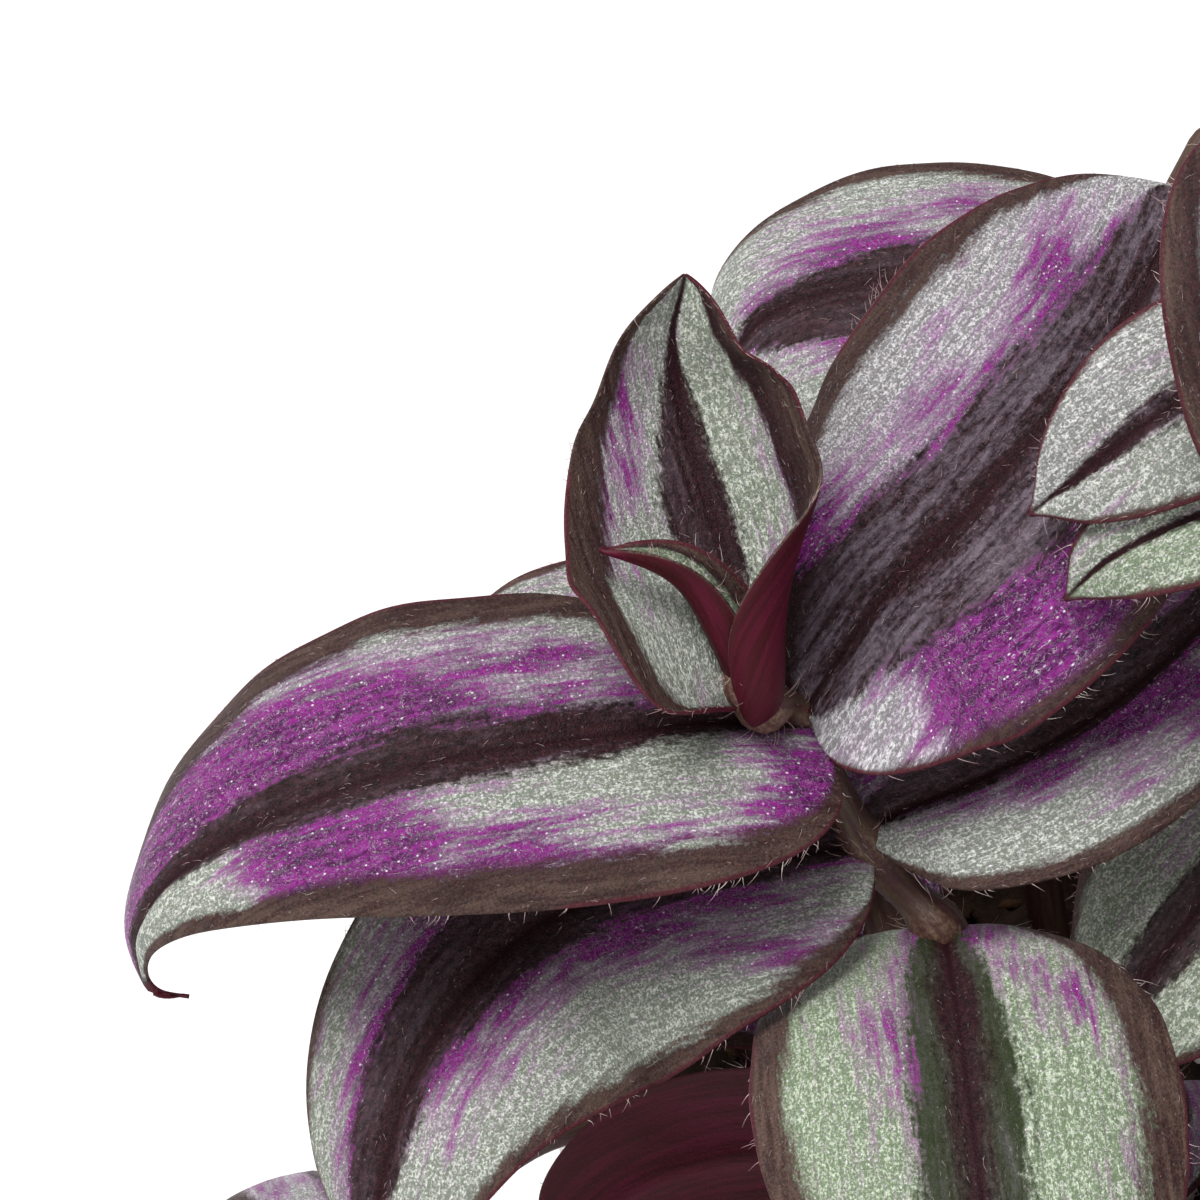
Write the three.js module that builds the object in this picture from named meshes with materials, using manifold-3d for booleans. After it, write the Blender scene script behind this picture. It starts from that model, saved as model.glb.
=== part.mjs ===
// Potted tradescantia: a white pot of potting mix with leafy, striped stems.
// Millimetres, +Z up. The origin is the middle of the pot's flat underside, and -Y is the front.

import * as THREE from 'three';
import { mergeVertices } from 'three/addons/utils/BufferGeometryUtils.js';
import Module from 'manifold-3d';

const wasm = await Module();
wasm.setup();

// ---- Driving dimensions, mm ----

const POT_HEIGHT = 105;
const POT_FOOT_RADIUS = 42;
const POT_BAND_RADIUS = 56;
const POT_RIM_RADIUS = 58;
const POT_BAND_HEIGHT = 16;
const POT_WALL = 3;
const POT_FLOOR = 4;
const POT_SIDES = 32;
const DRAIN_HOLES = 5;
const DRAIN_RADIUS = 4;
const DRAIN_RING = 24;
const DRAIN_SIDES = 16;

const SOIL_TOP = 94;
const SOIL_RELIEF = 1.2;
const SOIL_RINGS = 4;
const CLEARANCE = 0.35;

const STEM_RADIUS = 2.1;
const STEM_TIP_RADIUS = 1.1;
const STEM_SIDES = 5;
const STEM_FOOT = 72;
const SHEATH_SWELL = 0.7;
const RING_SPACING = 2.5;
const LONG_INTERNODE = 20;
const COURSE_STEP = 2;
const BLADE_THICKNESS = 0.7;
const BLADE_NECK = 0.6;
const BLADE_TIP = 0.45;
const TIP_PINCH = 0.45;
const TAPER_SHARE = 0.12;
const LOBE_REACH = 1.2;
const WAVES = 3;
const FULL_SHARE = 0.3;
const PLACED_ROWS = 16;
const PLACED_HALF_COLUMNS = 2;
const GROWN_ROWS = 4;
const GROWN_HALF_COLUMNS = 1;

// The photographed spray is laid out as it is seen from the front, 30 degrees from above:
// right, up and near, in mm from the node where its two largest leaves part.
const VIEW_TILT = THREE.MathUtils.degToRad(30);
const FRONT_NODE = new THREE.Vector3(-40, -38, 162);

const COLOURS = { pot: 0xe9e8e4, soil: 0x3a2a1f, leaf: 0x84677a };

// ---- Leafy stems: the course of each stem, and the leaves that are placed by hand ----

// A blade's spine runs from its root to its tip. face is the way its upper side looks at the
// root, the middle and the tip. fold lifts both halves from the midrib and curl bends them on,
// in degrees at the same three places. rise and fall shape the outline of each half, pinch is
// how narrow the very tip gets, hook is the share of the length that is a thin hook past it, and
// lobe is how far the base reaches back past the stem, below 0 where it tapers to it instead.
const FRONT_LEFT_LEAVES = [
  {
    spine: [[0.8, -0.6, 0], [-6.6, -0.5, 3], [-16.4, -1.6, 6], [-25.9, -3.1, 8], [-34.8, -6.2, 7],
      [-42.3, -10.5, 4], [-45.6, -14.6, 1.5], [-45.8, -17.4, 0], [-44.9, -19.4, -1],
      [-42.5, -19.7, -1]],
    face: [[0.1, 0.5, 0.85], [0, 0.42, 0.9], [-0.7, 0.45, 0.5]],
    width: 25, fold: [20, 14, 18], curl: [-35, -38, -45], lobe: 3.5, pinch: 1, hook: 0.06,
    wave: 0.3,
    right: { rise: 0.5, fall: 0.52, wide: 1.02, fold: [20, 14, 6], curl: [-35, -38, -30], lobe: 1 },
    left: { rise: 0.3, fall: 0.86, lobe: 1.9 },
  },
  {
    spine: [[0.9, 0.7, 0], [6, 8, -1], [11.4, 13.6, 2], [16.7, 19.8, 4], [21.6, 25.7, 4],
      [25.1, 31.1, 2], [27.7, 36.8, -1]],
    face: [[-0.1, 0.2, 0.95], [-0.1, 0.2, 0.95], [0, 0.35, 0.9]],
    width: 28, fold: [16, 14, 16], curl: [-25, -28, -25], lobe: 3, pinch: 1,
    right: { rise: 0.42, fall: 0.68, wide: 1.06, fold: [25, 16, 16], lobe: 3.4 },
    left: { rise: 0.5, fall: 0.38, wide: 1.08, fold: [8, 12, 16], lobe: 1 },
  },
  {
    spine: [[-2.6, 0.6, 4], [-3.5, 4.7, 4.5], [-4.8, 10.9, 3], [-6.5, 16.5, 2], [-7.9, 21.7, 1],
      [-8.6, 26.3, 2], [-7.8, 30.6, 4]],
    face: [[0.2, 0.35, 1], [0.05, 0.15, 1], [0, -0.2, 1]],
    width: 24, fold: [20, 10, 15], curl: [60, 50, 50], lobe: 2.5, pinch: 1,
    right: {
      rise: 0.38, fall: 0.48, wide: 0.92, fold: [10, 10, 15], curl: [280, 72, 50], lobe: 1.5,
    },
    left: {
      rise: 0.3, fall: 0.86, wide: 1.12, fold: [14, 10, 15], curl: [40, 30, 40], lobe: -1.5,
    },
  },
  {
    spine: [[-4.4, 2.6, 6], [-5.4, 4.6, 7.2], [-6.8, 7.2, 8.4], [-8.1, 9, 9.2], [-10, 10.3, 9.8],
      [-13.7, 11.6, 10]],
    face: [[0.75, 0.6, 0.2], [0.7, 0.7, 0.2], [0.2, 0.9, 0.3]],
    width: 8, fold: [50, 50, 45], curl: [20, 20, 20], lobe: 0,
    right: { rise: 0.3, fall: 1, wide: 1.05 }, left: { rise: 0.3, fall: 0.9, wide: 0.6 },
  },
  {
    spine: [[5.5, -9.5, -7], [-2.3, -10.5, -5], [-10.1, -11.7, -4], [-17.3, -14.5, -3],
      [-22.2, -18.4, -1], [-25.4, -22.7, 0], [-27.6, -27.5, 1], [-29, -33.7, 1], [-29.6, -40.3, -1]],
    face: [[0.1, 0.6, 0.8], [-0.05, 0.35, 0.93], [-0.5, 0.2, 0.85]],
    width: 28, fold: [20, 14, 18], curl: [-30, -35, -40], lobe: 3,
    right: { rise: 0.45, fall: 0.7, wide: 0.8, lobe: 1 },
    left: { rise: 0.5, fall: 0.7, wide: 1.02, lobe: 0.2 },
  },
  {
    spine: [[4.9, -8.4, -6.3], [8.2, -6.8, -5.4], [12.5, -5, -4], [19, -1.7, -4], [25.4, 2.7, -5],
      [31.3, 8.1, -7], [37.2, 13.9, -11]],
    face: [[-0.1, 0.4, 0.93], [-0.1, 0.35, 0.93], [0, 0.4, 0.9]],
    width: 24, fold: [20, 14, 16], curl: [-30, -30, -30], lobe: 2.5,
    right: { rise: 0.5, fall: 0.7, wide: 0.8, lobe: -0.5 }, left: { rise: 0.45, fall: 0.8, lobe: 0.5 },
  },
  {
    spine: [[11, -15.7, -8], [11.1, -20.2, 2], [11.5, -26, 8], [12, -32.2, 12], [12.6, -38.2, 12],
      [13.1, -44.3, 8], [13.6, -49.4, 2]],
    face: [[-0.1, 0.6, 0.8], [-0.05, 0.3, 0.95], [0, 0, 1]],
    width: 30.5, fold: [15, 10, 14], curl: [-35, -38, -40], lobe: 2,
    right: { rise: 0.4, fall: 0.7, lobe: 1.6 }, left: { rise: 0.48, fall: 0.7, lobe: 1 },
  },
];

const FRONT_LEAVES = [
  {
    spine: [[35.1, 26.1, 14], [29.6, 23.4, 15], [24.1, 20.7, 14], [19.9, 17.5, 12], [15.5, 13.9, 9]],
    face: [[0.1, 0.3, 0.95], [0, 0.3, 0.95], [0, 0.2, 1]],
    width: 14, fold: [20, 14, 16], curl: [-20, -20, -20], lobe: 2,
    right: { rise: 0.45, fall: 0.8 }, left: { rise: 0.45, fall: 0.8 },
  },
  {
    spine: [[35.1, 14.8, 14], [31, 14.7, 15], [26.3, 13.7, 14], [22.6, 12, 12], [20.2, 10.4, 10],
      [18, 8.1, 8]],
    face: [[0, 0.45, 0.9], [0, 0.4, 0.9], [0, 0.3, 1]],
    width: 10, fold: [20, 14, 16], curl: [-20, -25, -20], lobe: 2,
    right: { rise: 0.45, fall: 0.8 }, left: { rise: 0.45, fall: 0.8 },
  },
  {
    spine: [[35.6, 14, 14.6], [32.5, 18.5, 21], [30.2, 25.4, 25], [28.9, 32.6, 24], [29.8, 40.3, 18]],
    face: [[0, 0.3, 0.95], [-0.2, 0.1, 0.95], [0, -0.2, 1]],
    width: 15, fold: [20, 14, 16], curl: [-30, -35, -30], lobe: 2,
    right: { rise: 0.5, fall: 0.6 }, left: { rise: 0.5, fall: 0.6 },
  },
];

const BACK_CENTRE_LEAVES = [
  {
    spine: [[29.5, 34.6, -36], [22.1, 33.9, -33], [13.5, 33.4, -31], [5.7, 32.4, -32],
      [-1, 29.8, -34], [-4.9, 24.5, -38]],
    face: [[0, 0.5, 0.85], [0, 0.45, 0.9], [-0.5, 0.35, 0.8]],
    width: 22, fold: [15, 12, 16], curl: [-30, -35, -40], lobe: 2,
    right: { rise: 0.5, fall: 0.6 }, left: { rise: 0.5, fall: 0.5, wide: 1.35 },
  },
];

const LEFT_CENTRE_LEAVES = [
  {
    spine: [[-1, 4.9, -40], [-8.2, 6.7, -37], [-15.4, 6.4, -36], [-21.6, 4.8, -37], [-26.5, 2, -40]],
    face: [[0, 0.5, 0.85], [0, 0.45, 0.9], [-0.5, 0.35, 0.8]],
    width: 12, fold: [15, 12, 16], curl: [-30, -35, -40], lobe: 2,
    right: { rise: 0.5, fall: 0.6 }, left: { rise: 0.5, fall: 0.6 },
  },
];

const FRONT_TRAILING_LEAVES = [
  {
    spine: [[8.5, -35.3, -16], [2.8, -33.8, -20], [-4.6, -34.1, -23], [-12.1, -37.4, -25],
      [-16.7, -43, -28]],
    face: [[0, 0.4, -0.9], [0, 0.3, -0.95], [0, 0.3, -0.9]],
    width: 16, fold: [15, 12, 16], curl: [-30, -35, -40], lobe: 2,
    right: { rise: 0.5, fall: 0.6 }, left: { rise: 0.5, fall: 0.6 },
  },
];

const CENTRE_FRONT_LEAVES = [
  {
    spine: [[40.2, -3.6, -12], [34.1, -9.2, -10], [28.9, -14.9, -9], [24.7, -20.8, -10],
      [22, -25.4, -12]],
    face: [[0, 0.5, 0.85], [0, 0.45, 0.9], [-0.5, 0.35, 0.8]],
    width: 19, fold: [15, 12, 16], curl: [-30, -35, -40], lobe: 2,
    right: { rise: 0.5, fall: 0.6 }, left: { rise: 0.5, fall: 0.6 },
  },
];

// Each stem starts in the soil at its first point. grow is where leaves are added by rule,
// as distances along the stem from the soil up.
const SHOOTS = [
  {
    name: 'shoot_front_left', leaves: FRONT_LEFT_LEAVES, grow: [24, 44],
    stem: [[-12, -14, STEM_FOOT], [-12.5, -15, 92], [-19, -27, 118], [-27, -37.5, 137],
      [-29, -39, 144.2], [-34.5, -36.7, 150.3], [-40, -36.9, 161.3], [-42.6, -40.9, 164.6],
      [-44.6, -41.8, 168]],
  },
  {
    name: 'shoot_front', leaves: FRONT_LEAVES, grow: [40, 98],
    stem: [[12, -34, STEM_FOOT], [12, -35, 92], [14, -42, 120], [11, -48, 145], [4, -48, 165],
      [-4.3, -44, 181.5], [-5, -38, 192]],
  },
  {
    name: 'shoot_back_centre', leaves: BACK_CENTRE_LEAVES, grow: [50, 100],
    stem: [[-6, 10, STEM_FOOT], [-6, 10, 92], [-9, 12, 130], [-10, 12, 160], [-10.5, 10.5, 174],
      [-6, 14, 184]],
  },
  {
    name: 'shoot_left_centre', leaves: LEFT_CENTRE_LEAVES, grow: [30, 64],
    stem: [[-22, 2, STEM_FOOT], [-23, 2, 92], [-32, 1, 122], [-41, -0.9, 146.3], [-46, 0, 151]],
  },
  {
    name: 'shoot_front_trailing', leaves: FRONT_TRAILING_LEAVES, grow: [62, 200],
    stem: [[-22, -20, STEM_FOOT], [-23, -21, 92], [-29, -33, 108], [-31.5, -41.9, 123.4],
      [-38, -52, 124], [-44, -62, 116], [-47, -70, 102], [-48, -74, 88]],
  },
  {
    name: 'shoot_centre_front', leaves: CENTRE_FRONT_LEAVES, grow: [34, 60],
    stem: [[6, -14, STEM_FOOT], [6, -14, 92], [4, -18, 125], [0.2, -29.4, 153], [6, -34, 158]],
  },
  {
    name: 'shoot_front_right', leaves: [], grow: [34, 200],
    stem: [[26, -20, STEM_FOOT], [27, -21, 92], [38, -36, 125], [48, -50, 140], [56, -62, 136],
      [60, -68, 124]],
  },
  {
    name: 'shoot_right', leaves: [], grow: [34, 200],
    stem: [[34, 4, STEM_FOOT], [35, 4, 92], [50, 2, 128], [66, 0, 142], [78, -3, 134], [84, -5, 120]],
  },
  {
    name: 'shoot_back_right', leaves: [], grow: [34, 200],
    stem: [[24, 26, STEM_FOOT], [25, 27, 92], [36, 40, 130], [48, 54, 146], [58, 66, 140]],
  },
  {
    name: 'shoot_back', leaves: [], grow: [34, 200],
    stem: [[0, 34, STEM_FOOT], [0, 35, 92], [0, 50, 132], [2, 66, 146], [3, 80, 138], [4, 86, 124]],
  },
  {
    name: 'shoot_back_left', leaves: [], grow: [34, 200],
    stem: [[-24, 26, STEM_FOOT], [-25, 27, 92], [-36, 40, 118], [-48, 54, 122], [-58, 64, 110]],
  },
  {
    name: 'shoot_left_trailing', leaves: [], grow: [34, 200],
    stem: [[-36, 8, STEM_FOOT], [-37, 8, 92], [-50, 12, 116], [-62, 14, 114], [-72, 16, 98],
      [-76, 17, 78], [-77, 17, 60]],
  },
  {
    name: 'shoot_centre', leaves: [], grow: [60, 200],
    stem: [[8, 6, STEM_FOOT], [8, 6, 92], [12, 6, 130], [14, 4, 160], [16, 2, 178]],
  },
  {
    name: 'shoot_right_trailing', leaves: [], grow: [34, 200],
    stem: [[38, -14, STEM_FOOT], [39, -15, 92], [50, -26, 112], [60, -34, 112], [68, -38, 96],
      [70, -40, 76], [71, -40, 58]],
  },
  {
    name: 'shoot_back_trailing', leaves: [], grow: [34, 200],
    stem: [[14, 38, STEM_FOOT], [15, 39, 92], [26, 52, 112], [33, 62, 112], [38, 70, 96],
      [40, 73, 76]],
  },
  {
    name: 'shoot_right_centre', leaves: [], grow: [44, 200],
    stem: [[20, 10, STEM_FOOT], [21, 10, 92], [30, 16, 135], [38, 20, 165], [44, 22, 176]],
  },
  {
    name: 'shoot_front_low', leaves: [], grow: [32, 200],
    stem: [[-4, -38, STEM_FOOT], [-4, -40, 92], [-6, -52, 112], [-8, -66, 116], [-8, -76, 104]],
  },
  {
    name: 'shoot_front_right_low', leaves: [], grow: [32, 200],
    stem: [[26, -34, STEM_FOOT], [26, -34, 92], [29, -41, 108], [36, -57, 115], [44, -72, 104]],
  },
  {
    name: 'shoot_right_front', leaves: [], grow: [32, 200],
    stem: [[30, -8, STEM_FOOT], [31, -8, 92], [40, -12, 130], [48, -16, 158], [52, -18, 170]],
  },
  {
    name: 'shoot_middle_right', leaves: [], grow: [40, 200],
    stem: [[17, -6, STEM_FOOT], [17, -7, 92], [22, -16, 130], [27, -24, 158], [29, -28, 172]],
  },
  {
    name: 'shoot_middle_back', leaves: [], grow: [40, 200],
    stem: [[8, 20, STEM_FOOT], [8, 21, 92], [10, 26, 130], [12, 32, 160], [14, 36, 174]],
  },
  {
    name: 'shoot_back_left_tall', leaves: [], grow: [36, 200],
    stem: [[-12, 22, STEM_FOOT], [-12, 23, 92], [-18, 30, 125], [-24, 38, 140], [-28, 44, 146]],
  },
  {
    name: 'shoot_left_front_low', leaves: [], grow: [32, 200],
    stem: [[-34, -8, STEM_FOOT], [-35, -9, 92], [-46, -14, 108], [-58, -20, 112], [-68, -24, 104],
      [-72, -26, 92]],
  },
  {
    name: 'shoot_left_back_low', leaves: [], grow: [32, 200],
    stem: [[-34, 19, STEM_FOOT], [-35, 20, 92], [-48, 28, 112], [-60, 36, 108], [-68, 42, 94],
      [-70, 44, 78]],
  },
  {
    name: 'shoot_back_right_low', leaves: [], grow: [32, 200],
    stem: [[34, 28, STEM_FOOT], [34, 28, 92], [39, 32, 108], [54, 43, 115], [67, 51, 102],
      [71, 53, 84]],
  },
  {
    name: 'shoot_right_low', leaves: [], grow: [32, 200],
    stem: [[40, 14, STEM_FOOT], [41, 15, 92], [56, 24, 116], [68, 32, 120], [78, 38, 110],
      [82, 40, 96]],
  },
  {
    name: 'shoot_middle_left', leaves: [], grow: [32, 200],
    stem: [[-6, -3, STEM_FOOT], [-6, -3, 92], [-10, -4, 120], [-16, -2, 136], [-20, 2, 142]],
  },
];

// ---- Rule for the leaves that are not placed by hand ----

const NODE_SPACING = 14;
const LEAF_LENGTHS = [40, 56];
const LEAF_WIDTH_SHARE = 0.46;
const TIP_LEAF_SHARE = 0.55;
const LEAF_TURN = 66;
const HEADING_SPREAD = 12;
const OUTWARD_PULL = 0.6;
const LEAF_RISE = 24;
const RISE_SPREAD = 8;
const CLIMB_SHARE = 0.3;
const LEAF_BEND = [62, 92];
const LEAF_SWEEP = [5, 30];
const LEAF_ROLL = 14;
const TIP_TURN = 18;
const SPINE_STEPS = 4;
const SAMPLE_ROWS = 12;
const SAMPLE_HALF_COLUMNS = 3;
const LEAF_GAP = 2.9;
const STEM_GAP = 5;
const OWN_SHARE = 0.3;
const REACH = 92;
const CROWN_RADIUS = 102;
const LOWEST_LEAF = 18;
const WALL_GAP = 3.2;
const RIM_GAP = 3;
const RIM_ZONE = 8;
const SOIL_GAP = 5;
const RANDOM_SEED = 4271;

const GROWN_SHAPE = {
  fold: [22, 14, 18],
  curl: [-30, -34, -38],
  lobe: 2,
  wave: 0.25,
  left: { rise: 0.42, fall: 0.74 },
  right: { rise: 0.42, fall: 0.74 },
};

// Ways to bend a leaf clear of its neighbours, tried in turn: turn and lift in degrees, size.
const BENDS = [
  [0, 0, 1], [12, 0, 1], [-12, 0, 1], [0, 14, 1], [0, -14, 1], [20, 12, 0.9], [-20, 12, 0.9],
  [20, -14, 0.9], [-20, -14, 0.9], [0, 28, 0.85], [0, -28, 0.85], [34, 6, 0.8], [-34, 6, 0.8],
  [0, 0, 0.7], [26, 26, 0.7], [-26, 26, 0.7], [26, -26, 0.7], [-26, -26, 0.7], [50, 10, 0.65],
  [-50, 10, 0.65], [0, 50, 0.6], [40, 40, 0.6], [-40, 40, 0.6], [70, 0, 0.55], [-70, 0, 0.55],
  [180, 10, 0.6], [150, 20, 0.55], [-150, 20, 0.55], [0, 0, 0.5],
];

// The skyline behind the photographed spray: from each x, the highest place, as seen from the
// front, that another leaf may take. Where the spray is seen, other leaves keep well behind it.
const SKYLINE = [[-200, -44], [-73, -44], [-72.5, 2], [-47, 18], [-32, 30], [-11, 60]];
const SPRAY_RIGHT_EDGE = -6;
const SPRAY_LOW_EDGE = -40;
const SPRAY_BACK = -40;
const SPRAY_LOW_BACK = -28;
const SPRAY_MIDDLE = 6;

// ---- Vectors, draws and courses ----

let randomState = RANDOM_SEED;

/** Next number of the seeded draw, between low and high. */
function draw(low, high) {
  randomState = (randomState * 16807) % 2147483647;
  return low + ((high - low) * randomState) / 2147483647;
}

/** Direction given as right, up and near, in the part's own frame. */
function seenDirection([right, up, near]) {
  const cos = Math.cos(VIEW_TILT);
  const sin = Math.sin(VIEW_TILT);
  return new THREE.Vector3(right, up * sin - near * cos, up * cos + near * sin);
}

/** Place given as right, up and near of the front node. */
function seenPoint(place) {
  return seenDirection(place).add(FRONT_NODE);
}

/** Points at even distances along a smooth curve through the given ones, and its length. */
function evenPoints(points, count) {
  const curve = new THREE.CatmullRomCurve3(points, false, 'catmullrom', 0.5);
  const fineSteps = 24 * (points.length - 1);
  const fine = [curve.getPoint(0)];
  const run = [0];
  for (let step = 1; step <= fineSteps; step += 1) {
    fine.push(curve.getPoint(step / fineSteps));
    run.push(run[step - 1] + fine[step].distanceTo(fine[step - 1]));
  }
  const length = run[fineSteps];
  const even = [];
  let step = 1;
  for (let index = 0; index <= count; index += 1) {
    const wanted = (length * index) / count;
    while (step < fineSteps && run[step] < wanted) step += 1;
    const share = (wanted - run[step - 1]) / (run[step] - run[step - 1]);
    even.push(fine[step - 1].clone().lerp(fine[step], share));
  }
  return { even, length };
}

/** Unit tangents along a row of points. */
function tangentsOf(points) {
  return points.map((point, index) => {
    const before = points[Math.max(index - 1, 0)];
    const after = points[Math.min(index + 1, points.length - 1)];
    return after.clone().sub(before).normalize();
  });
}

/** Smooth change between three values, at the root, just short of the middle and at the tip. */
function eased(values, share) {
  const middle = 0.45;
  const first = share < middle;
  const part = first ? share / middle : (share - middle) / (1 - middle);
  const weight = part * part * (3 - 2 * part);
  const [from, to] = first ? [values[0], values[1]] : [values[1], values[2]];
  return from + (to - from) * weight;
}

// ---- Blades ----

/** Half width of a leaf at a share of its length, as a part of the widest. */
function outline(share, rise, fall, pinch) {
  const peakAt = rise / (rise + fall);
  const peak = peakAt ** rise * (1 - peakAt) ** fall;
  const tipTaper = pinch + (1 - pinch) * Math.min(1, (1 - share) / TAPER_SHARE);
  return ((share ** rise * (1 - share) ** fall) / peak) * tipTaper;
}

/** Rows of points over a blade's middle surface, from root to tip and from left to right. */
function bladeRows(leaf, rows, halfColumns) {
  const spine = evenPoints(leaf.spine, rows).even;
  const tangents = tangentsOf(spine);
  return spine.map((place, row) => {
    const share = row / rows;
    const along = tangents[row];
    const normal = new THREE.Vector3(
      eased(leaf.face.map((face) => face.x), share),
      eased(leaf.face.map((face) => face.y), share),
      eased(leaf.face.map((face) => face.z), share),
    );
    normal.addScaledVector(along, -normal.dot(along)).normalize();
    const across = along.clone().cross(normal);
    const points = [];
    for (let column = -halfColumns; column <= halfColumns; column += 1) {
      const side = column > 0 ? leaf.right : leaf.left;
      const out = Math.abs(column) / halfColumns;
      const fold = THREE.MathUtils.degToRad(eased(side.fold ?? leaf.fold, share));
      const curl = THREE.MathUtils.degToRad(eased(side.curl ?? leaf.curl, share));
      const full = (leaf.width / 2) * (side.wide ?? 1);
      const least = BLADE_NECK * (1 - share) + BLADE_TIP * share;
      const filled = Math.min(1, share / (1 - (leaf.hook ?? 0)));
      const shape = outline(filled, side.rise, side.fall, leaf.pinch ?? TIP_PINCH);
      const half = Math.max(full * shape, least);
      const sideways = (half * (Math.sin(fold + curl * out) - Math.sin(fold))) / curl;
      const lift = (half * (Math.cos(fold) - Math.cos(fold + curl * out))) / curl;
      const isNearRoot = share < side.rise / (side.rise + side.fall);
      const roundness = isNearRoot ? 2 * Math.sqrt(Math.max(0, shape * (1 - shape))) : 0;
      const back = (side.lobe ?? leaf.lobe) * out ** LOBE_REACH * roundness;
      const phase = column > 0 ? 0.7 : 2.1;
      const fullness = Math.min(1, half / (FULL_SHARE * leaf.width));
      const ripple = Math.sin(2 * Math.PI * WAVES * share + phase) * out ** 2 * fullness;
      points.push(place.clone()
        .addScaledVector(across, Math.sign(column) * sideways)
        .addScaledVector(normal, lift + (leaf.wave ?? 0) * ripple)
        .addScaledVector(along, -back));
    }
    return points;
  });
}

/** Upward normals at the points of a grid of rows. */
function gridNormals(grid) {
  const last = grid.length - 1;
  return grid.map((points, row) => points.map((point, column) => {
    const ahead = grid[Math.min(row + 1, last)][column].clone();
    const along = ahead.sub(grid[Math.max(row - 1, 0)][column]);
    const right = points[Math.min(column + 1, points.length - 1)].clone();
    const across = right.sub(points[Math.max(column - 1, 0)]);
    return across.cross(along).normalize();
  }));
}

/** Closed body from vertices and triangles. */
function bodyOf(vertices, triangles) {
  const geometry = new THREE.BufferGeometry().setFromPoints(vertices);
  geometry.setIndex(triangles);
  return solidOf(geometry);
}

/** A blade as a thin closed body: both faces are split into triangles alike. */
function bladeSolid(leaf, rows, halfColumns) {
  const grid = bladeRows(leaf, rows, halfColumns);
  const normals = gridNormals(grid);
  const columns = 2 * halfColumns + 1;
  const faceSize = (rows + 1) * columns;
  const vertices = [];
  for (const level of [0.5, -0.5]) {
    grid.forEach((points, row) => points.forEach((point, column) => {
      vertices.push(point.clone().addScaledVector(normals[row][column], level * BLADE_THICKNESS));
    }));
  }
  const upper = (row, column) => row * columns + column;
  const lower = (row, column) => faceSize + upper(row, column);
  const triangles = [];
  const quad = (a, b, c, d) => triangles.push(a, b, c, a, c, d);
  for (let row = 0; row < rows; row += 1) {
    for (let column = 0; column < columns - 1; column += 1) {
      quad(upper(row, column), upper(row, column + 1), upper(row + 1, column + 1), upper(row + 1, column));
      triangles.push(lower(row, column), lower(row + 1, column + 1), lower(row, column + 1));
      triangles.push(lower(row, column), lower(row + 1, column), lower(row + 1, column + 1));
    }
    const edge = columns - 1;
    quad(lower(row, 0), upper(row, 0), upper(row + 1, 0), lower(row + 1, 0));
    quad(upper(row, edge), lower(row, edge), lower(row + 1, edge), upper(row + 1, edge));
  }
  for (let column = 0; column < columns - 1; column += 1) {
    quad(lower(0, column), lower(0, column + 1), upper(0, column + 1), upper(0, column));
    quad(upper(rows, column), upper(rows, column + 1), lower(rows, column + 1), lower(rows, column));
  }
  return bodyOf(vertices, triangles);
}

// ---- Solids ----

/** Closed three.js geometry as a solid that can be joined and cut. */
function solidOf(geometry) {
  const bare = geometry.clone();
  bare.deleteAttribute('normal');
  bare.deleteAttribute('uv');
  const merged = mergeVertices(bare, 1e-4);
  return new wasm.Manifold(new wasm.Mesh({
    numProp: 3,
    vertProperties: new Float32Array(merged.attributes.position.array),
    triVerts: new Uint32Array(merged.index.array),
  }));
}

/** Solid as three.js geometry. */
function geometryOf(solid) {
  const mesh = solid.getMesh();
  const geometry = new THREE.BufferGeometry();
  geometry.setAttribute('position', new THREE.BufferAttribute(mesh.vertProperties, 3));
  geometry.setIndex(new THREE.BufferAttribute(mesh.triVerts, 1));
  geometry.computeVertexNormals();
  return geometry;
}

/** Round body swept through places with the given radii, closed at both ends. */
function sweptSolid(places, radii, sides) {
  const tangents = tangentsOf(places);
  const vertices = [];
  const outward = new THREE.Vector3(1, 0, 0);
  places.forEach((place, ring) => {
    outward.addScaledVector(tangents[ring], -outward.dot(tangents[ring])).normalize();
    const sideways = tangents[ring].clone().cross(outward);
    for (let side = 0; side < sides; side += 1) {
      const angle = (2 * Math.PI * side) / sides;
      vertices.push(place.clone()
        .addScaledVector(outward, radii[ring] * Math.cos(angle))
        .addScaledVector(sideways, radii[ring] * Math.sin(angle)));
    }
  });
  const triangles = [];
  const last = (places.length - 1) * sides;
  for (let side = 0; side < sides; side += 1) {
    const next = (side + 1) % sides;
    for (let ring = 0; ring < last; ring += sides) {
      triangles.push(ring + side, ring + next, ring + sides + next);
      triangles.push(ring + side, ring + sides + next, ring + sides + side);
    }
    if (side > 0 && side < sides - 1) {
      triangles.push(0, side + 1, side);
      triangles.push(last, last + side, last + side + 1);
    }
  }
  return bodyOf(vertices, triangles);
}

// ---- Where the leaves go ----

/** Course of a stem: places at even steps of about 2 mm, tangents and length. */
function stemCourse(shoot) {
  const points = shoot.stem.map((point) => new THREE.Vector3(...point));
  const rough = evenPoints(points, 100).length;
  const { even, length } = evenPoints(points, Math.round(rough / COURSE_STEP));
  return { places: even, tangents: tangentsOf(even), length };
}

/** Index of the course's place at a distance from the foot. */
function courseIndex(course, distance) {
  const last = course.places.length - 1;
  return Math.min(last, Math.round((distance / course.length) * last));
}

/** Distance along the course of the place nearest to a point. */
function distanceAlong(course, point) {
  const last = course.places.length - 1;
  let nearest = 0;
  course.places.forEach((place, index) => {
    if (place.distanceTo(point) < course.places[nearest].distanceTo(point)) nearest = index;
  });
  return (course.length * nearest) / last;
}

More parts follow.
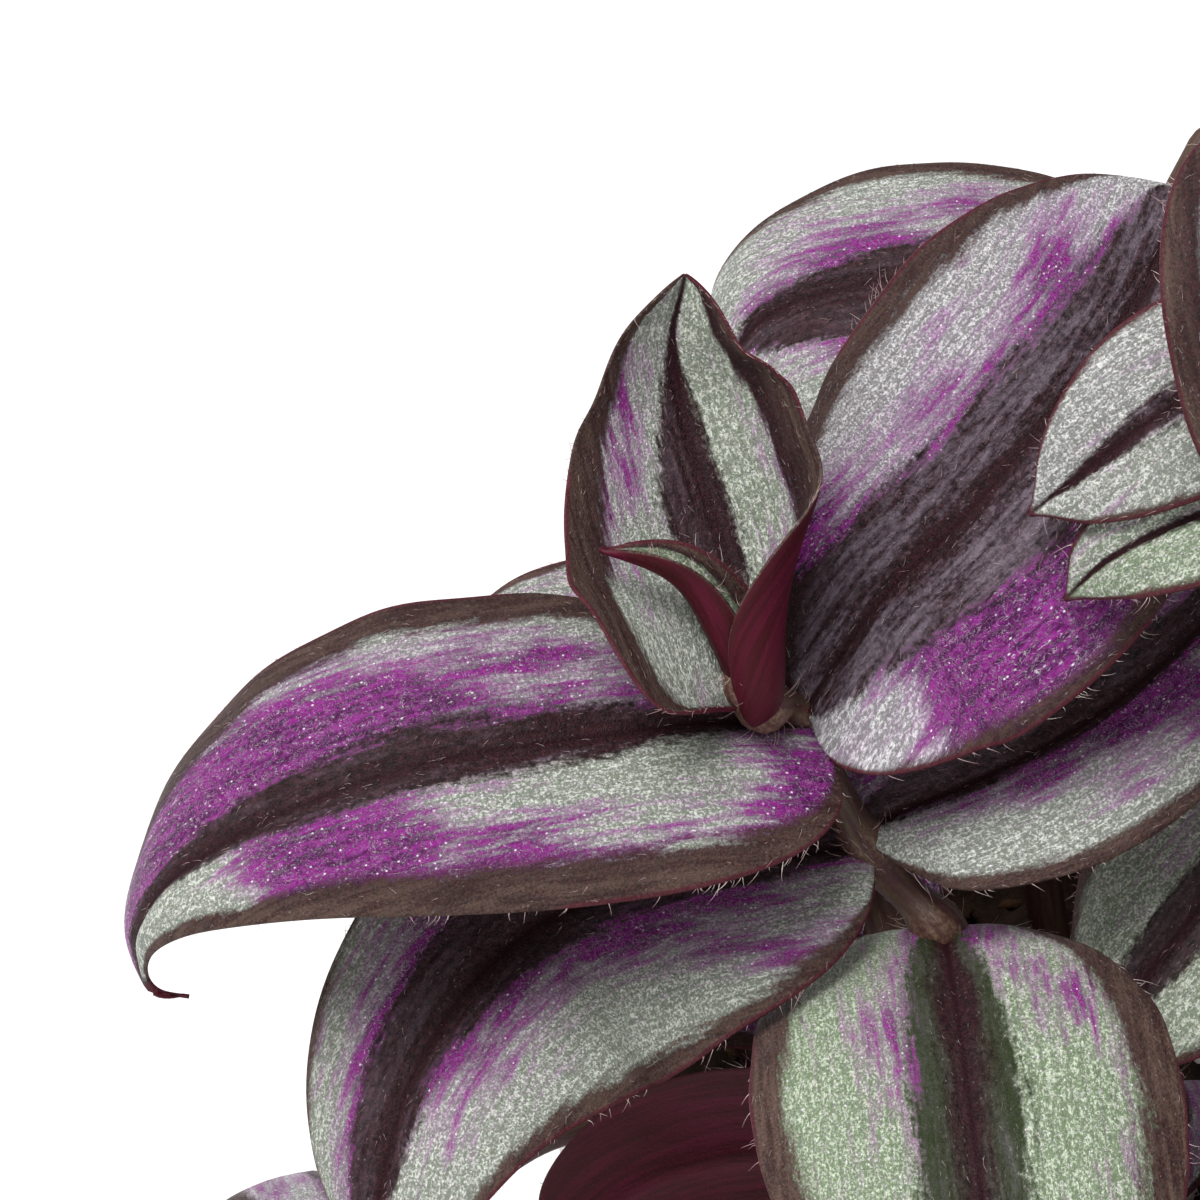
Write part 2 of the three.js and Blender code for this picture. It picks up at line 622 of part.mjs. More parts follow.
/** Hand-placed leaf with its spine and faces in the part's frame. */
function placedLeaf(leaf) {
  return {
    ...leaf,
    spine: leaf.spine.map(seenPoint),
    face: leaf.face.map(seenDirection),
  };
}

/** Arching leaf from a root: heading, rise and bend in degrees. */
function archedLeaf(root, heading, rise, bend, sweep, roll, length, width) {
  const spine = [root.clone()];
  const face = [];
  const step = length / SPINE_STEPS;
  for (let index = 0; index < SPINE_STEPS; index += 1) {
    const share = (index + 0.5) / SPINE_STEPS;
    const turned = THREE.MathUtils.degToRad(heading + sweep * share);
    const risen = THREE.MathUtils.degToRad(rise - bend * share);
    const level = new THREE.Vector3(Math.cos(turned), Math.sin(turned), 0);
    const along = level.clone().multiplyScalar(Math.cos(risen));
    along.z = Math.sin(risen);
    const normal = level.clone().multiplyScalar(-Math.sin(risen));
    normal.z = Math.cos(risen);
    const rolled = THREE.MathUtils.degToRad(roll);
    const across = along.clone().cross(normal);
    face.push(normal.multiplyScalar(Math.cos(rolled)).addScaledVector(across, Math.sin(rolled)));
    spine.push(spine[index].clone().addScaledVector(along, step));
  }
  return {
    spine,
    face: [face[0], face[1], face[SPINE_STEPS - 1]],
    width,
    ...GROWN_SHAPE,
  };
}

/** Points over a blade, with the share of its length that each row is at. */
function bladeSamples(leaf) {
  const rows = bladeRows(leaf, SAMPLE_ROWS, SAMPLE_HALF_COLUMNS);
  const points = rows.flat();
  const shares = rows.flatMap((row, index) => row.map(() => index / SAMPLE_ROWS));
  const sphere = new THREE.Sphere().setFromPoints(points, points[Math.floor(points.length / 2)].clone());
  return { points, shares, sphere };
}

/** Highest place, as seen from the front, that another leaf may take at x. */
function skylineAt(x) {
  let index = 1;
  while (index < SKYLINE.length - 1 && SKYLINE[index][0] < x) index += 1;
  const [fromX, fromUp] = SKYLINE[index - 1];
  const [toX, toUp] = SKYLINE[index];
  const share = Math.min(1, Math.max(0, (x - fromX) / (toX - fromX)));
  return fromUp + (toUp - fromUp) * share;
}

/** True where a blade may pass: clear of pot, soil and ground, and out of the spray's way. */
function isOpenPlace(point) {
  const radius = Math.hypot(point.x, point.y);
  if (Math.max(Math.abs(point.x), Math.abs(point.y)) > REACH) return false;
  if (radius > CROWN_RADIUS || point.z < LOWEST_LEAF) return false;
  const besidePot = radius > POT_RIM_RADIUS + WALL_GAP;
  if (!besidePot && point.z < SOIL_TOP + SOIL_GAP) return false;
  if (!besidePot && radius > POT_RIM_RADIUS - RIM_ZONE && point.z < POT_HEIGHT + RIM_GAP) return false;
  const fromNode = point.clone().sub(FRONT_NODE);
  const up = fromNode.y * Math.sin(VIEW_TILT) + fromNode.z * Math.cos(VIEW_TILT);
  const near = fromNode.z * Math.sin(VIEW_TILT) - fromNode.y * Math.cos(VIEW_TILT);
  if (point.x < SPRAY_RIGHT_EDGE && up > SPRAY_LOW_EDGE) {
    return up < skylineAt(point.x) && near < (up > SPRAY_MIDDLE ? SPRAY_BACK : SPRAY_LOW_BACK);
  }
  return true;
}

/** True where a leaf is clear of every other leaf and stem. */
function isClear(samples, shootName, taken, stems) {
  if (!samples.points.every(isOpenPlace)) return false;
  for (const other of taken) {
    const reach = samples.sphere.radius + other.samples.sphere.radius + LEAF_GAP;
    if (samples.sphere.center.distanceTo(other.samples.sphere.center) > reach) continue;
    const own = other.shootName === shootName;
    for (let a = 0; a < samples.points.length; a += 1) {
      if (own && samples.shares[a] < OWN_SHARE) continue;
      for (let b = 0; b < other.samples.points.length; b += 1) {
        if (own && other.samples.shares[b] < OWN_SHARE) continue;
        if (samples.points[a].distanceTo(other.samples.points[b]) < LEAF_GAP) return false;
      }
    }
  }
  for (const stem of stems) {
    const own = stem.shootName === shootName;
    for (const place of stem.places) {
      for (let a = 0; a < samples.points.length; a += 1) {
        if (own && samples.shares[a] < OWN_SHARE) continue;
        if (samples.points[a].distanceTo(place) < STEM_GAP) return false;
      }
    }
  }
  return true;
}

/** Leaves that a shoot grows by rule, each bent clear of what is there already, or left out. */
function grownLeaves(shoot, course, taken, stems) {
  const leaves = [];
  const from = shoot.grow[0];
  const to = Math.min(shoot.grow[1], course.length);
  const count = Math.max(1, Math.floor((to - from) / NODE_SPACING));
  const reachesTip = shoot.grow[1] > course.length;
  for (let node = 0; node <= count; node += 1) {
    const distance = from + ((to - from) * node) / count;
    const atTip = reachesTip && node === count;
    const index = courseIndex(course, distance);
    const root = course.places[index];
    const tangent = course.tangents[index];
    const outward = Math.hypot(root.x, root.y) || 1;
    const headingX = tangent.x + (OUTWARD_PULL * root.x) / outward;
    const headingY = tangent.y + (OUTWARD_PULL * root.y) / outward;
    const side = node % 2 ? -1 : 1;
    const heading = THREE.MathUtils.radToDeg(Math.atan2(headingY, headingX))
      + side * (atTip ? TIP_TURN : LEAF_TURN) + draw(-HEADING_SPREAD, HEADING_SPREAD);
    const climb = THREE.MathUtils.radToDeg(Math.asin(tangent.z));
    const rise = LEAF_RISE + CLIMB_SHARE * climb + draw(-RISE_SPREAD, RISE_SPREAD);
    const bend = draw(...LEAF_BEND);
    const sweep = -side * draw(...LEAF_SWEEP);
    const roll = draw(-LEAF_ROLL, LEAF_ROLL);
    const length = draw(...LEAF_LENGTHS) * (atTip ? TIP_LEAF_SHARE : 1);
    for (const [turn, lift, size] of BENDS) {
      const grown = archedLeaf(
        root, heading + turn, rise + lift, bend, sweep, roll,
        length * size, length * size * LEAF_WIDTH_SHARE,
      );
      const samples = bladeSamples(grown);
      if (isClear(samples, shoot.name, taken, stems)) {
        taken.push({ shootName: shoot.name, samples });
        leaves.push(grown);
        break;
      }
    }
  }
  return leaves;
}

/** Every shoot with its course and its leaves. */
function plantedShoots() {
  const shoots = SHOOTS.map((shoot) => ({ ...shoot, course: stemCourse(shoot) }));
  const stems = shoots.map((shoot) => ({ shootName: shoot.name, places: shoot.course.places }));
  const taken = [];
  for (const shoot of shoots) {
    shoot.placed = shoot.leaves.map(placedLeaf);
    shoot.placed.forEach((leaf) => taken.push({ shootName: shoot.name, samples: bladeSamples(leaf) }));
  }
  for (const shoot of shoots) {
    shoot.grown = grownLeaves(shoot, shoot.course, taken, stems);
  }
  return shoots;
}

// ---- Pieces ----

/** Stem with a swelling where each leaf's sheath ends. */
function stemRings(shoot) {
  const { course } = shoot;
  const nodes = [...shoot.placed, ...shoot.grown].map((leaf) => distanceAlong(course, leaf.spine[0]));
  nodes.sort((a, b) => a - b);
  const stops = [{ distance: 0, swell: 0 }];
  const add = (distance, swell) => {
    if (distance - stops[stops.length - 1].distance > RING_SPACING) stops.push({ distance, swell });
  };
  add(SOIL_TOP - STEM_FOOT, 0);
  for (const node of nodes) {
    const before = stops[stops.length - 1].distance;
    if (node - before > LONG_INTERNODE) add((before + node) / 2, 0);
    add(node, SHEATH_SWELL);
  }
  const last = stops[stops.length - 1];
  if (course.length - last.distance > RING_SPACING) add(course.length, 0);
  else last.distance = course.length;
  const places = stops.map((stop) => course.places[courseIndex(course, stop.distance)]);
  const radii = stops.map((stop) => {
    const share = stop.distance / course.length;
    return STEM_RADIUS + (STEM_TIP_RADIUS - STEM_RADIUS) * share + stop.swell;
  });
  return { places, radii };
}

/** One leafy stem: the stem with its leaves sunk into it. */
function shootSolid(shoot) {
  const { places, radii } = stemRings(shoot);
  let solid = sweptSolid(places, radii, STEM_SIDES);
  for (const leaf of shoot.placed) {
    solid = solid.add(bladeSolid(leaf, PLACED_ROWS, PLACED_HALF_COLUMNS));
  }
  for (const leaf of shoot.grown) {
    solid = solid.add(bladeSolid(leaf, GROWN_ROWS, GROWN_HALF_COLUMNS));
  }
  return solid;
}

/** Hole that a stem stands in: its own foot, a little wider. */
function stemHole(shoot) {
  const { places, radii } = stemRings(shoot);
  const foot = places[0].clone();
  foot.z -= CLEARANCE;
  return sweptSolid([foot, places[1], places[2]], radii.slice(0, 3).map((r) => r + CLEARANCE), STEM_SIDES);
}

/** Radius of the pot's outer wall at a height below its band. */
function potRadiusAt(height) {
  const bandFoot = POT_HEIGHT - POT_BAND_HEIGHT;
  return POT_FOOT_RADIUS + ((POT_BAND_RADIUS - 2 - POT_FOOT_RADIUS) * height) / bandFoot;
}

/** White tapered pot with a band under its rim and drain holes round its flat foot. */
function potSolid() {
  const bandFoot = POT_HEIGHT - POT_BAND_HEIGHT;
  const profile = [
    [0, 0], [POT_FOOT_RADIUS - 1, 0], [POT_FOOT_RADIUS, 1], [potRadiusAt(bandFoot), bandFoot],
    [POT_BAND_RADIUS, bandFoot + 2], [POT_RIM_RADIUS, POT_HEIGHT - 1.5], [POT_RIM_RADIUS - 1, POT_HEIGHT],
    [POT_RIM_RADIUS - POT_WALL + 1, POT_HEIGHT], [POT_RIM_RADIUS - POT_WALL, POT_HEIGHT - 1.5],
    [potRadiusAt(bandFoot) - POT_WALL, bandFoot], [potRadiusAt(POT_FLOOR) - POT_WALL, POT_FLOOR],
    [0, POT_FLOOR],
  ].map(([radius, height]) => new THREE.Vector2(radius, height));
  const body = new THREE.LatheGeometry(profile, POT_SIDES);
  body.rotateX(Math.PI / 2);
  let pot = solidOf(body);
  for (let hole = 0; hole < DRAIN_HOLES; hole += 1) {
    const angle = (2 * Math.PI * hole) / DRAIN_HOLES;
    const drain = new THREE.CylinderGeometry(DRAIN_RADIUS, DRAIN_RADIUS, 3 * POT_FLOOR, DRAIN_SIDES);
    drain.rotateX(Math.PI / 2);
    drain.translate(DRAIN_RING * Math.cos(angle), DRAIN_RING * Math.sin(angle), 0);
    pot = pot.subtract(solidOf(drain));
  }
  return pot;
}

/** Height of the soil's crumbly top above its mean, by a formula. */
function soilRelief(x, y) {
  return SOIL_RELIEF * (Math.sin(0.31 * x + 1) * Math.cos(0.27 * y) + 0.5 * Math.sin(0.13 * x * y / 9 + 2));
}

/** Inner radius of the pot at a height, less the clearance. */
function soilRadiusAt(height) {
  return potRadiusAt(height) - POT_WALL - CLEARANCE;
}

/** Soil that fills the pot, with an uneven top and a plain hole for each stem. */
function soilSolid(shoots) {
  const bottom = POT_FLOOR + CLEARANCE;
  const bandFoot = POT_HEIGHT - POT_BAND_HEIGHT;
  const vertices = [new THREE.Vector3(0, 0, bottom)];
  const levels = [[soilRadiusAt(bottom), bottom], [soilRadiusAt(bandFoot), bandFoot]];
  for (let ring = SOIL_RINGS; ring > 0; ring -= 1) {
    levels.push([(soilRadiusAt(bandFoot) * ring) / SOIL_RINGS, SOIL_TOP]);
  }
  for (const [radius, height] of levels) {
    for (let side = 0; side < POT_SIDES; side += 1) {
      const angle = (2 * Math.PI * side) / POT_SIDES;
      const x = radius * Math.cos(angle);
      const y = radius * Math.sin(angle);
      const lift = height === SOIL_TOP ? soilRelief(x, y) : 0;
      vertices.push(new THREE.Vector3(x, y, height + lift));
    }
  }
  vertices.push(new THREE.Vector3(0, 0, SOIL_TOP + soilRelief(0, 0)));
  const triangles = [];
  const top = vertices.length - 1;
  const lastRing = 1 + (levels.length - 1) * POT_SIDES;
  for (let side = 0; side < POT_SIDES; side += 1) {
    const next = (side + 1) % POT_SIDES;
    triangles.push(0, 1 + next, 1 + side);
    triangles.push(top, lastRing + side, lastRing + next);
    for (let ring = 1; ring < lastRing; ring += POT_SIDES) {
      triangles.push(ring + side, ring + next, ring + POT_SIDES + next);
      triangles.push(ring + side, ring + POT_SIDES + next, ring + POT_SIDES + side);
    }
  }
  let soil = bodyOf(vertices, triangles);
  for (const shoot of shoots) {
    soil = soil.subtract(stemHole(shoot));
  }
  return soil;
}

// ---- Plant in its pot ----

/** Named mesh with its own material. */
function namedPiece(name, solid, colour, roughness) {
  const material = new THREE.MeshStandardMaterial({ color: colour, roughness, metalness: 0 });
  const piece = new THREE.Mesh(geometryOf(solid), material);
  piece.name = name;
  return piece;
}

const plant = new THREE.Group();
const shoots = plantedShoots();
plant.add(namedPiece('pot', potSolid(), COLOURS.pot, 0.3));
plant.add(namedPiece('soil', soilSolid(shoots), COLOURS.soil, 0.95));
for (const shoot of shoots) {
  plant.add(namedPiece(shoot.name, shootSolid(shoot), COLOURS.leaf, 0.5));
}

export default plant;
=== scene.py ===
"""Potted tradescantia: fine leaves, stems, hairs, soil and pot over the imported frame.

Sizes are in millimetres, as in the part's own source, and meshes are written in metres.
The shoots are laid out by the same rule and the same draws as the frame's solids.
"""
import math

import bmesh
import bpy
import numpy as np
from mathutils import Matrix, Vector
from mathutils.geometry import delaunay_2d_cdt


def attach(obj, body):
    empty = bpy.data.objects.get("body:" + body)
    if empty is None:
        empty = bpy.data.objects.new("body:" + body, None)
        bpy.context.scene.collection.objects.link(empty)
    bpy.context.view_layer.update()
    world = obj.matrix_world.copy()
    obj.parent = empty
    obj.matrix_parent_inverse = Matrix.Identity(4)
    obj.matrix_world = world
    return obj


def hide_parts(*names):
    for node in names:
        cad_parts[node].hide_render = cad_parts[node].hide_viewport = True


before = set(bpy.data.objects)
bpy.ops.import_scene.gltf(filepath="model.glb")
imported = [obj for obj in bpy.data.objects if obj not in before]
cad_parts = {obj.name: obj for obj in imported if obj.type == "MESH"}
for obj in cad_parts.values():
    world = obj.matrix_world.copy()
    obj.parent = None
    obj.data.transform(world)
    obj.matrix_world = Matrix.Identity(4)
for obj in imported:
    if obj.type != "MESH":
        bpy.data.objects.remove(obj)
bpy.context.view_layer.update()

MM = 0.001

# ---- Driving dimensions, mm ----

POT_HEIGHT = 105
POT_FOOT_RADIUS = 42
POT_BAND_RADIUS = 56
POT_RIM_RADIUS = 58
POT_BAND_HEIGHT = 16
POT_WALL = 3
POT_FLOOR = 4
# Inner edge of the foot's ring, ledge under the band, slope of the ledge, and the rim's edges.
POT_DISC_RADIUS = 38
POT_LEDGE = 2
LEDGE_SLOPE = 1.5
RIM_EDGE = 1
RIM_LIP = 2
DRAIN_HOLES = 5
DRAIN_RADIUS = 4
DRAIN_RING = 24

SOIL_TOP = 94
SOIL_RELIEF = 1.2
CLEARANCE = 0.35

STEM_RADIUS = 2.1
STEM_TIP_RADIUS = 1.1
STEM_FOOT = 72
STEM_MOUTH = 92
SHEATH_SWELL = 0.7
BLADE_THICKNESS = 0.6
RIM_THICKNESS = 0.22
BLADE_NECK = 0.6
BLADE_TIP = 0.45
TIP_PINCH = 0.45
TAPER_SHARE = 0.12
EASE_MIDDLE = 0.45
LOBE_REACH = 1.2
WAVES = 3
RIGHT_PHASE, LEFT_PHASE = 0.7, 2.1
FULL_SHARE = 0.3
CURVE_STEPS = 24
ROUGH_STEPS = 100
COURSE_STEP = 2

VIEW_TILT = math.radians(30)
VIEW_COS, VIEW_SIN = math.cos(VIEW_TILT), math.sin(VIEW_TILT)
FRONT_NODE = np.array([-40.0, -38.0, 162.0])

# Camera: distance from the front node's plane, width of the view there, and its middle,
# right and up of the front node.
VIEW_DISTANCE = 300
VIEW_WIDTH = 84
VIEW_MIDDLE = (-13.65, 8.12)
SENSOR_WIDTH = 36

# Light: strength of the white surroundings, and the key's strength, spread and direction.
SURROUND_LIGHT = 0.36
KEY_LIGHT = 3.4
KEY_SPREAD = 36
KEY_FROM = (-0.35, -0.3, 1.0)

# ---- Leaves placed one by one ----

# A spine is places right of, above and nearer than the front node, and a face is directions in the
# same axes. Fold and curl are degrees. Each holds values from the root to the tip. Rise and fall
# shape a side's outline, wide is its share of the half width, and lobe is how far it runs back
# over the root, in mm.
PLAIN_SIDE = dict(rise=0.5, fall=0.6)
SMALL_SIDE = dict(rise=0.45, fall=0.8)
PLAIN_LEAF = dict(
    face=[(0, 0.5, 0.85), (0, 0.45, 0.9), (-0.5, 0.35, 0.8)],
    fold=(15, 12, 16), curl=(-30, -35, -40), lobe=2, right=PLAIN_SIDE, left=PLAIN_SIDE,
)

LEAVES = {
    "A": dict(
        spine=[(0.8, -0.6, 0), (-6.6, -0.5, 3), (-16.4, -1.6, 6), (-25.9, -3.1, 8), (-34.8, -6.2, 7),
               (-42.3, -10.5, 4), (-45.6, -14.6, 1.5), (-45.8, -17.4, 0), (-44.9, -19.4, -1),
               (-42.5, -19.7, -1)],
        face=[(0.1, 0.5, 0.85), (0, 0.42, 0.9), (-0.7, 0.45, 0.5)],
        width=25, fold=(20, 14, 18), curl=(-35, -38, -45), lobe=3.5, pinch=1, hook=0.06, wave=0.3,
        right=dict(rise=0.5, fall=0.52, wide=1.02, fold=(20, 14, 6), curl=(-35, -38, -30), lobe=1),
        left=dict(rise=0.3, fall=0.86, lobe=1.9),
    ),
    "C": dict(
        spine=[(0.9, 0.7, 0), (6, 8, -1), (11.4, 13.6, 2), (16.7, 19.8, 4), (21.6, 25.7, 4),
               (25.1, 31.1, 2), (27.7, 36.8, -1)],
        face=[(-0.1, 0.2, 0.95), (-0.1, 0.2, 0.95), (0, 0.35, 0.9)],
        width=28, fold=(16, 14, 16), curl=(-25, -28, -25), lobe=3, pinch=1,
        right=dict(rise=0.42, fall=0.68, wide=1.06, fold=(25, 16, 16), lobe=3.4),
        left=dict(rise=0.5, fall=0.38, wide=1.08, fold=(8, 12, 16), lobe=1),
    ),
    "B": dict(
        spine=[(-2.6, 0.6, 4), (-3.5, 4.7, 4.5), (-4.8, 10.9, 3), (-6.5, 16.5, 2), (-7.9, 21.7, 1),
               (-8.6, 26.3, 2), (-7.8, 30.6, 4)],
        face=[(0.2, 0.35, 1), (0.05, 0.15, 1), (0, -0.2, 1)],
        width=24, fold=(20, 10, 15), curl=(60, 50, 50), lobe=2.5, pinch=1,
        right=dict(rise=0.38, fall=0.48, wide=0.92, fold=(10, 10, 15), curl=(280, 72, 50), lobe=1.5),
        left=dict(rise=0.3, fall=0.86, wide=1.12, fold=(14, 10, 15), curl=(40, 30, 40), lobe=-1.5),
    ),
    "bud": dict(
        spine=[(-4.4, 2.6, 6), (-5.4, 4.6, 7.2), (-6.8, 7.2, 8.4), (-8.1, 9, 9.2), (-10, 10.3, 9.8),
               (-13.7, 11.6, 10)],
        face=[(0.75, 0.6, 0.2), (0.7, 0.7, 0.2), (0.2, 0.9, 0.3)],
        width=8, fold=(50, 50, 45), curl=(20, 20, 20), lobe=0,
        right=dict(rise=0.3, fall=1, wide=1.05), left=dict(rise=0.3, fall=0.9, wide=0.6),
    ),
    "A2": dict(
        spine=[(5.5, -9.5, -7), (-2.3, -10.5, -5), (-10.1, -11.7, -4), (-17.3, -14.5, -3),
               (-22.2, -18.4, -1), (-25.4, -22.7, 0), (-27.6, -27.5, 1), (-29, -33.7, 1),
               (-29.6, -40.3, -1)],
        face=[(0.1, 0.6, 0.8), (-0.05, 0.35, 0.93), (-0.5, 0.2, 0.85)],
        width=28, fold=(20, 14, 18), curl=(-30, -35, -40), lobe=3,
        right=dict(rise=0.45, fall=0.7, wide=0.8, lobe=1),
        left=dict(rise=0.5, fall=0.7, wide=1.02, lobe=0.2),
    ),
    "D": dict(
        spine=[(4.9, -8.4, -6.3), (8.2, -6.8, -5.4), (12.5, -5, -4), (19, -1.7, -4), (25.4, 2.7, -5),
               (31.3, 8.1, -7), (37.2, 13.9, -11)],
        face=[(-0.1, 0.4, 0.93), (-0.1, 0.35, 0.93), (0, 0.4, 0.9)],
        width=24, fold=(20, 14, 16), curl=(-30, -30, -30), lobe=2.5,
        right=dict(rise=0.5, fall=0.7, wide=0.8, lobe=-0.5), left=dict(rise=0.45, fall=0.8, lobe=0.5),
    ),
    "E": dict(
        spine=[(11, -15.7, -8), (11.1, -20.2, 2), (11.5, -26, 8), (12, -32.2, 12), (12.6, -38.2, 12),
               (13.1, -44.3, 8), (13.6, -49.4, 2)],
        face=[(-0.1, 0.6, 0.8), (-0.05, 0.3, 0.95), (0, 0, 1)],
        width=30.5, fold=(15, 10, 14), curl=(-35, -38, -40), lobe=2,
        right=dict(rise=0.4, fall=0.7, lobe=1.6), left=dict(rise=0.48, fall=0.7, lobe=1),
    ),
    "F1": dict(
        spine=[(35.1, 26.1, 14), (29.6, 23.4, 15), (24.1, 20.7, 14), (19.9, 17.5, 12), (15.5, 13.9, 9)],
        face=[(0.1, 0.3, 0.95), (0, 0.3, 0.95), (0, 0.2, 1)],
        width=14, fold=(20, 14, 16), curl=(-20, -20, -20), lobe=2, right=SMALL_SIDE, left=SMALL_SIDE,
    ),
    "F2": dict(
        spine=[(35.1, 14.8, 14), (31, 14.7, 15), (26.3, 13.7, 14), (22.6, 12, 12), (20.2, 10.4, 10),
               (18, 8.1, 8)],
        face=[(0, 0.45, 0.9), (0, 0.4, 0.9), (0, 0.3, 1)],
        width=10, fold=(20, 14, 16), curl=(-20, -25, -20), lobe=2, right=SMALL_SIDE, left=SMALL_SIDE,
    ),
    "G": dict(
        PLAIN_LEAF, width=15, fold=(20, 14, 16), curl=(-30, -35, -30),
        spine=[(35.6, 14, 14.6), (32.5, 18.5, 21), (30.2, 25.4, 25), (28.9, 32.6, 24), (29.8, 40.3, 18)],
        face=[(0, 0.3, 0.95), (-0.2, 0.1, 0.95), (0, -0.2, 1)],
    ),
    "H": dict(
        PLAIN_LEAF, width=22, left=dict(rise=0.5, fall=0.5, wide=1.35),
        spine=[(29.5, 34.6, -36), (22.1, 33.9, -33), (13.5, 33.4, -31), (5.7, 32.4, -32),
               (-1, 29.8, -34), (-4.9, 24.5, -38)],
    ),
    "I": dict(
        PLAIN_LEAF, width=12,
        spine=[(-1, 4.9, -40), (-8.2, 6.7, -37), (-15.4, 6.4, -36), (-21.6, 4.8, -37), (-26.5, 2, -40)],
    ),
    "J": dict(
        PLAIN_LEAF, width=16, face=[(0, 0.4, -0.9), (0, 0.3, -0.95), (0, 0.3, -0.9)],
        spine=[(8.5, -35.3, -16), (2.8, -33.8, -20), (-4.6, -34.1, -23), (-12.1, -37.4, -25),
               (-16.7, -43, -28)],
    ),
    "K": dict(
        PLAIN_LEAF, width=19,
        spine=[(40.2, -3.6, -12), (34.1, -9.2, -10), (28.9, -14.9, -9), (24.7, -20.8, -10),
               (22, -25.4, -12)],
    ),
}

# Paint of a leaf's left and right half: how purple the light stripe is, where it starts and ends
# across the half, whether the purple leans to the midrib (below 0) or to the margin, then how
# light and how green it is. Several values are in even steps from the root to the tip.
PAINT = {
    "A": [((0.75, 0.05, 0.45, 0.95, -0.2, -0.3), (0.12, 0.2, 0.2), (0.78, 0.74, 0.86), (0.9, 0.6, -0.4),
           1, 0.6),
          ((0.3, 0.25, 0.55, 0.95, 0.95, 0.1), (0.17, 0.19, 0.17), (0.82, 0.76, 0.66), (-1, -0.9, -0.2),
           0.95, 0.5)],
    # C's left half starts its stripe at 0.9 across at the root, so the dark band covers the root:
    # painted shade where leaf B and the sheath shade it.
    "C": [((1, 0.64, 0.18, 0.24, 0.42, 0.1), (0.9, 0.42, 0.33, 0.31, 0.34), (0.84, 0.85, 0.84),
           (-0.2, -1, -0.9), 1, 0.2),
          ((0.1, 0.8, 0.95, 0.5, 0.9, 0.6), (0.3, 0.46, 0.36), (0.95, 0.9, 0.86), (0.2, 0.3, 0), 1,
           0.15)],
    "B": [((0, 0, 0.3, 0.3, 0), (0.2, 0.3, 0.04), (0.74, 0.7, 0.8), (0.4, 0.5, 0), 1, 0.55),
          ((0, 0.1, 0.1, 0, 0), (0.16, 0.11, 0.04), (0.64, 0.57, 0.5), (0.8, 0.9, 0), 1, 0.7)],
    "bud": [(0, 0.2, 0.7, 0, 0.6, 1), (0, 0.16, 0.66, 0, 0.75, 1)],
    "A2": [((0.42, 0.3, 0.16, 0.1, 0), (0.2, 0.2, 0.16), (0.86, 0.87, 0.88), (-0.5, -1.2, -0.8), 1,
            0.6),
           ((0.6, 0.5, 0.4, 0.3, 0.2), 0.4, (0.92, 0.95, 0.95), (-0.5, -0.9, -0.9), 0.9, 0.65)],
    "D": [((0.4, 0.5, 0.3), 0.3, 0.86, 0, 0.9, 0.4),
          ((0, 0.15, 0.4, 0.5, 0.5), (0.14, 0.09, 0.06), (0.86, 0.88, 0.88), (-0.6, -1.2, -1), 1, 0.5)],
    "E": [((0.45, 0.2, 0, 0, 0), (0.2, 0.25, 0.26), (0.74, 0.76, 0.75), (-0.3, 0.6, 0), 1, 1),
          ((0.3, 0.15, 0.1, 0, 0), (0.23, 0.27, 0.27), (0.78, 0.83, 0.84), (-0.7, -0.8, 0), 1, 1)],
    "F1": [(0, (0.2, 0.2, 0.1), (0.88, 0.9, 0.9), 0, 1, 0.5),
           (0, (0.25, 0.2, 0.1), (0.9, 0.95, 0.95), 0, 1, 0.35)],
    "F2": [(0, (0.2, 0.1, 0.1), (0.88, 0.9, 0.9), 0, 0.95, 0.9),
           (0, (0.2, 0.1, 0.1), (0.88, 0.9, 0.9), 0, 1, 0.7)],
    "G": [(0.1, (0.4, 0.5, 0.6), (0.6, 0.6, 0.7), 0, 0.5, 0.6)] * 2,
    "H": [((0.5, 0.4, 0.3, 0.3, 0), (0.2, 0.3, 0.42, 0.3, 0), (0.9, 0.92, 0.95), (-0.8, -1, -0.6), 1,
           0.5),
          ((0.4, 0.35, 0.3, 0.3, 0), (0.34, 0.32, 0.25, 0.16, 0), (0.8, 0.85, 0.95), (-0.9, -1, 0), 1,
           0.5)],
    "I": [(0.1, 0.3, 0.85, 0, 0.9, 0.5)] * 2,
    "J": [(0.3, 0.3, 0.8, 0, 0.8, 0.4)] * 2,
    "K": [((0.05, 0.05, 0), (0.25, 0.25, 0.2), (0.88, 0.86, 0.86), 0, 0.95, 0.8)] * 2,
}

# ---- Stems ----

TO_TIP = 200


def sprout(name, start, foot, mouth, *course, end=TO_TIP, leaves=()):
    """Shoot with a stem from its foot in the soil, out at its mouth and along its course.

    Its placed leaves are named, and others are grown from start to end along it, in mm.
    """
    stem = [(*foot, STEM_FOOT), (*mouth, STEM_MOUTH), *course]
    return dict(name="shoot_" + name, stem=stem, grow=(start, end), leaves=leaves)


